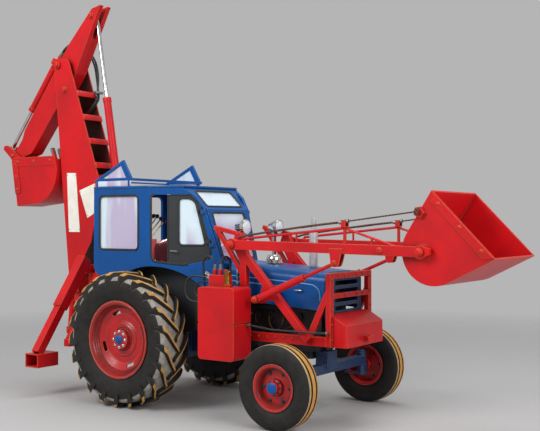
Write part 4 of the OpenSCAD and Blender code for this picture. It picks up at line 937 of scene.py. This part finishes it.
pinEnds = [
    # x, z, distance out, body, size
    (-1.48, 1.24, 0.17, "slew_post", 0.028),
    (-1.753, 3.825, 0.17, "dipper", 0.03),
    (1.19, 1.7, 0.6, "chassis", 0.027),
    (3.244, 1.663, 0.6, "loader_bucket", 0.026),
    (1.48, 1.165, 0.595, "chassis", 0.022),
    (-2.6195, 2.76, 0.12, "digging_bucket", 0.02),
    (-0.925, 2.47, 0.055, "boom", 0.017),
    (-1.9346, 3.8902, 0.055, "dipper", 0.017),
    (-1.67, 0.61, 0.055, "slew_post", 0.017),
    (2.385, 1.548, 0.59, "loader_arms", 0.02),
    (-1.64, 3.518, 0.15, "boom", 0.034),
    (-1.255, 4.381, 0.09, "dipper", 0.03),
    (2.85, 1.67, 0.58, "loader_arms", 0.024),
]
boltRows = [
    # first place, step, how many, axis, size
    ((2.24, 0.378, 0.8), (0, 0, 0.145), 5, (1, 0, 0), 0.013),
    ((2.236, 0.12, 1.4075), (0, 0.12, 0), 2, (1, 0, 0), 0.011),
    ((2.236, 0.12, 1.215), (0, 0.12, 0), 2, (1, 0, 0), 0.011),
    ((1.31, 0.41, 0.79), (0.1, 0, 0), 6, (0, 1, 0), 0.012),
    ((-1.08, 0.3, 0.695), (0.16, 0, 0), 5, (0, 1, 0), 0.014),
    ((-1.266, 0.06, 1.36), (0, 0.09, 0), 3, (-1, 0, 0), 0.014),
    ((-1.266, 0.06, 0.7), (0, 0, 0.1), 3, (-1, 0, 0), 0.013),
]
boltSets = {body: bmesh.new() for body in dict.fromkeys(pin[3] for pin in pinEnds)}
for x, z, out, body, size in pinEnds:
    for sign in hands.values():
        bolt(boltSets[body], at(x, sign * out, z), leftward * sign, size)
for first, step, count, (axisX, axisY, axisZ), size in boltRows:
    for sign in hands.values():
        for i in range(count):
            x, y, z = (first[k] + step[k] * i for k in range(3))
            bolt(boltSets["chassis"], at(x, sign * y, z), (axisX, sign * axisY, axisZ), size)
for body, mesh in boltSets.items():
    newPiece(body.replace("_", "") + "Bolts", mesh, "redEnamel", body)
print("bolts fitted")

boomSigns = {
    "inner": 0.1495, "outer": 0.153, "rivetInset": 0.03,
    "rivet": [(0.006, 0.0), (0.005, 0.003), (0.0, 0.0042)],
    "corners": [[(-1.594, 2.514), (-1.441, 2.509), (-1.372, 1.805), (-1.558, 1.804)],
                [(-1.381, 2.299), (-1.122, 2.38), (-1.105, 2.041), (-1.247, 1.971)]],
}
signs, rivets = bmesh.new(), bmesh.new()
for corners in boomSigns["corners"]:
    addPlate(signs, corners, -boomSigns["inner"], -boomSigns["outer"])
    middle = sum((Vector(corner) for corner in corners), Vector((0, 0))) / 4
    for corner in corners:
        spot = Vector(corner) + (middle - Vector(corner)).normalized() * boomSigns["rivetInset"]
        lathe(rivets, boomSigns["rivet"], at(spot.x, -boomSigns["outer"], spot.y), -leftward, 10)
newPiece("boomSigns", signs, "whiteEnamel", "boom")
newPiece("signRivets", rivets, "zincSteel", "boom")

bonnetTrim = {
    "across": 0.2995, "width": 0.011, "height": 0.004,
    "beads": [[(0.975, 1.375), (1.4, 1.35), (1.9, 1.32), (2.0, 1.3), (2.05, 1.25), (2.06, 1.16)],
              [(0.975, 1.32), (1.3, 1.302), (1.7, 1.28)]],
    # (x, distance out) of the pull
    "pull": [(1.78, 0.297), (1.782, 0.322), (1.79, 0.33), (1.855, 0.33), (1.863, 0.322), (1.865, 0.297)],
    "pullHeight": 1.255, "pullRadius": 0.007,
}
tankFilter = {
    "place": (1.23, 0.69, 1.309),
    "bowl": [(0.037, 0.0), (0.037, 0.02), (0.03, 0.028), (0.03, 0.112), (0.035, 0.116), (0.035, 0.132),
             (0.012, 0.139)],
}
injectors = {
    "count": 4, "radius": 0.005, "first": 1.23, "step": 0.17, "pumpFirst": 1.43, "pumpStep": 0.03,
    "knee": 0.02,  # how far each pipe leans towards the middle ones, for each place that it is from them
    # (distance out, height) from a cylinder down to the pump
    "route": [(0.178, 0.985), (0.205, 0.97), (0.215, 0.9), (0.2, 0.82), (0.148, 0.8)],
}
exhaust = {
    "run": [(1.2, -0.19, 1.07), (1.4, -0.2, 1.075), (1.66, -0.2, 1.085), (1.77, -0.17, 1.13),
            (1.8, -0.1, 1.2), (1.8, -0.02, 1.26)],
    "radius": 0.03, "filterPlace": (1.72, -0.2, 0.9),
    "filter": [(0.046, 0.0), (0.046, 0.12), (0.03, 0.135), (0.0, 0.136)],
}
beads, pulls, bowls, pipes, iron = bmesh.new(), bmesh.new(), bmesh.new(), bmesh.new(), bmesh.new()
bead = stripSection(bonnetTrim["width"], bonnetTrim["height"])
for sign in hands.values():
    for run in bonnetTrim["beads"]:
        path = smoothPath([at(x, sign * bonnetTrim["across"], z) for x, z in run], 6)
        sweep(beads, path, bead, False, leftward * sign)
    path = smoothPath([at(x, sign * y, bonnetTrim["pullHeight"]) for x, y in bonnetTrim["pull"]], 4)
    sweep(pulls, path, roundSection(bonnetTrim["pullRadius"], 10))
    x, y, z = tankFilter["place"]
    lathe(bowls, tankFilter["bowl"], at(x, sign * y, z), upward, 28)
    for i in range(injectors["count"]):
        x = injectors["first"] + injectors["step"] * i
        pump = injectors["pumpFirst"] + injectors["pumpStep"] * i
        knee = x + injectors["knee"] * ((injectors["count"] - 1) / 2 - i)
        stops = zip((x, x, knee, pump, pump), injectors["route"])
        path = smoothPath([at(along, sign * out, height) for along, (out, height) in stops], 6)
        sweep(pipes, path, roundSection(injectors["radius"], 8))
sweep(iron, smoothPath([at(*place) for place in exhaust["run"]], 6), roundSection(exhaust["radius"], 16))
lathe(iron, exhaust["filter"], at(*exhaust["filterPlace"]), -upward, 24)
# the bonnet's beads carry a painted highlight in pale blue
newPiece("bonnetBeads", beads, "paleBlue", "chassis")
newPiece("bonnetPulls", pulls, "chrome", "chassis")
newPiece("tankFilters", bowls, "brass", "chassis")
newPiece("injectorPipes", pipes, "brass", "chassis")
newPiece("exhaustManifold", iron, "oilyIron", "chassis")

controlRod = {
    "start": (0.74, -0.43, 1.4), "stop": (0.965, -0.585, 1.36), "radius": 0.009,
    "coilFrom": 0.1, "coilShare": 0.8, "coilRadius": 0.02, "turns": 14, "steps": 12, "wireRadius": 0.0045,
}
spring = bmesh.new()
start, stop = at(*controlRod["start"]), at(*controlRod["stop"])
sweep(spring, [start, stop], roundSection(controlRod["radius"], 12))
side = (stop - start).normalized().orthogonal().normalized()
over = (stop - start).normalized().cross(side)
last = controlRod["turns"] * controlRod["steps"]
coil = []
for i in range(last + 1):
    angle = 2 * math.pi * i / controlRod["steps"]
    middle = start + (stop - start) * (controlRod["coilFrom"] + controlRod["coilShare"] * i / last)
    coil.append(middle + (side * math.cos(angle) + over * math.sin(angle)) * controlRod["coilRadius"])
sweep(spring, coil, roundSection(controlRod["wireRadius"], 6))
newPiece("controlSpring", spring, "zincSteel", "chassis")
print("trim fitted")

photoView = {
    "place": (6.2223, -8.0419, 1.9322), "heading": 2.1717, "pitch": 0.0062, "lens": 62.264, "sensor": 36,
}
camera = bpy.data.objects.new("camera", bpy.data.cameras.new("camera"))
bpy.context.scene.collection.objects.link(camera)
camera.location = photoView["place"]
camera.rotation_euler = (math.pi / 2 + photoView["pitch"], 0, photoView["heading"] - math.pi / 2)
camera.data.lens = photoView["lens"]
camera.data.sensor_width = photoView["sensor"]
bpy.context.scene.camera = camera

studio = {"backdrop": "#b5b5b5", "floor": "#b0b0b0", "floorRadius": 16.0, "fadeFrom": 5.5, "fadeTo": 11.0}
lights = {
    "key": {"place": (-2.5, -9.0, 8.0), "size": 5.0, "power": 820},
    "fill": {"place": (9.0, -2.0, 5.0), "size": 6.0, "power": 520},
    "top": {"place": (0.0, 2.0, 10.0), "size": 7.0, "power": 350},
    "cabin": {"place": (-0.75, 0.2, 2.12), "size": 0.12, "power": 12},
}
lightTarget = Vector((0, 0, 1.2))
world = bpy.data.worlds.new("studio")
bpy.context.scene.world = world
world.use_nodes = True
backdrop = world.node_tree.nodes["Background"]
setInputs(world.node_tree, backdrop, {"Color": linear(studio["backdrop"]), "Strength": 1.0})
bpy.context.scene.view_settings.view_transform = "Standard"
for name, look in lights.items():
    light = bpy.data.objects.new(name, bpy.data.lights.new(name, "AREA"))
    light.data.size = look["size"]
    light.data.energy = look["power"]
    light.location = look["place"]
    light.rotation_euler = (lightTarget - Vector(look["place"])).to_track_quat("-Z", "Y").to_euler()
    bpy.context.scene.collection.objects.link(light)

floorMesh = bmesh.new()
bmesh.ops.create_circle(floorMesh, cap_ends=True, segments=96, radius=studio["floorRadius"])
floorData = bpy.data.meshes.new("floor")
floorMesh.to_mesh(floorData)
floorMesh.free()
floor = bpy.data.objects.new("floor", floorData)
bpy.context.scene.collection.objects.link(floor)
# matt studio board that fades into the backdrop
floorFinish, tree, shader, place = startFinish("paleFloor")
reach = addNode(tree, "VectorMath", {0: place}, operation="LENGTH").outputs["Value"]
fade = addNode(tree, "MapRange", {0: reach, 1: studio["fadeFrom"], 2: studio["fadeTo"], 3: 1.0, 4: 0.0})
setInputs(tree, shader, {
    "Base Color": linear(studio["floor"]), "Alpha": fade.outputs[0], "Roughness": 0.9,
    "Specular IOR Level": 0.1,
})
floorData.materials.append(floorFinish)
print("studio lit")
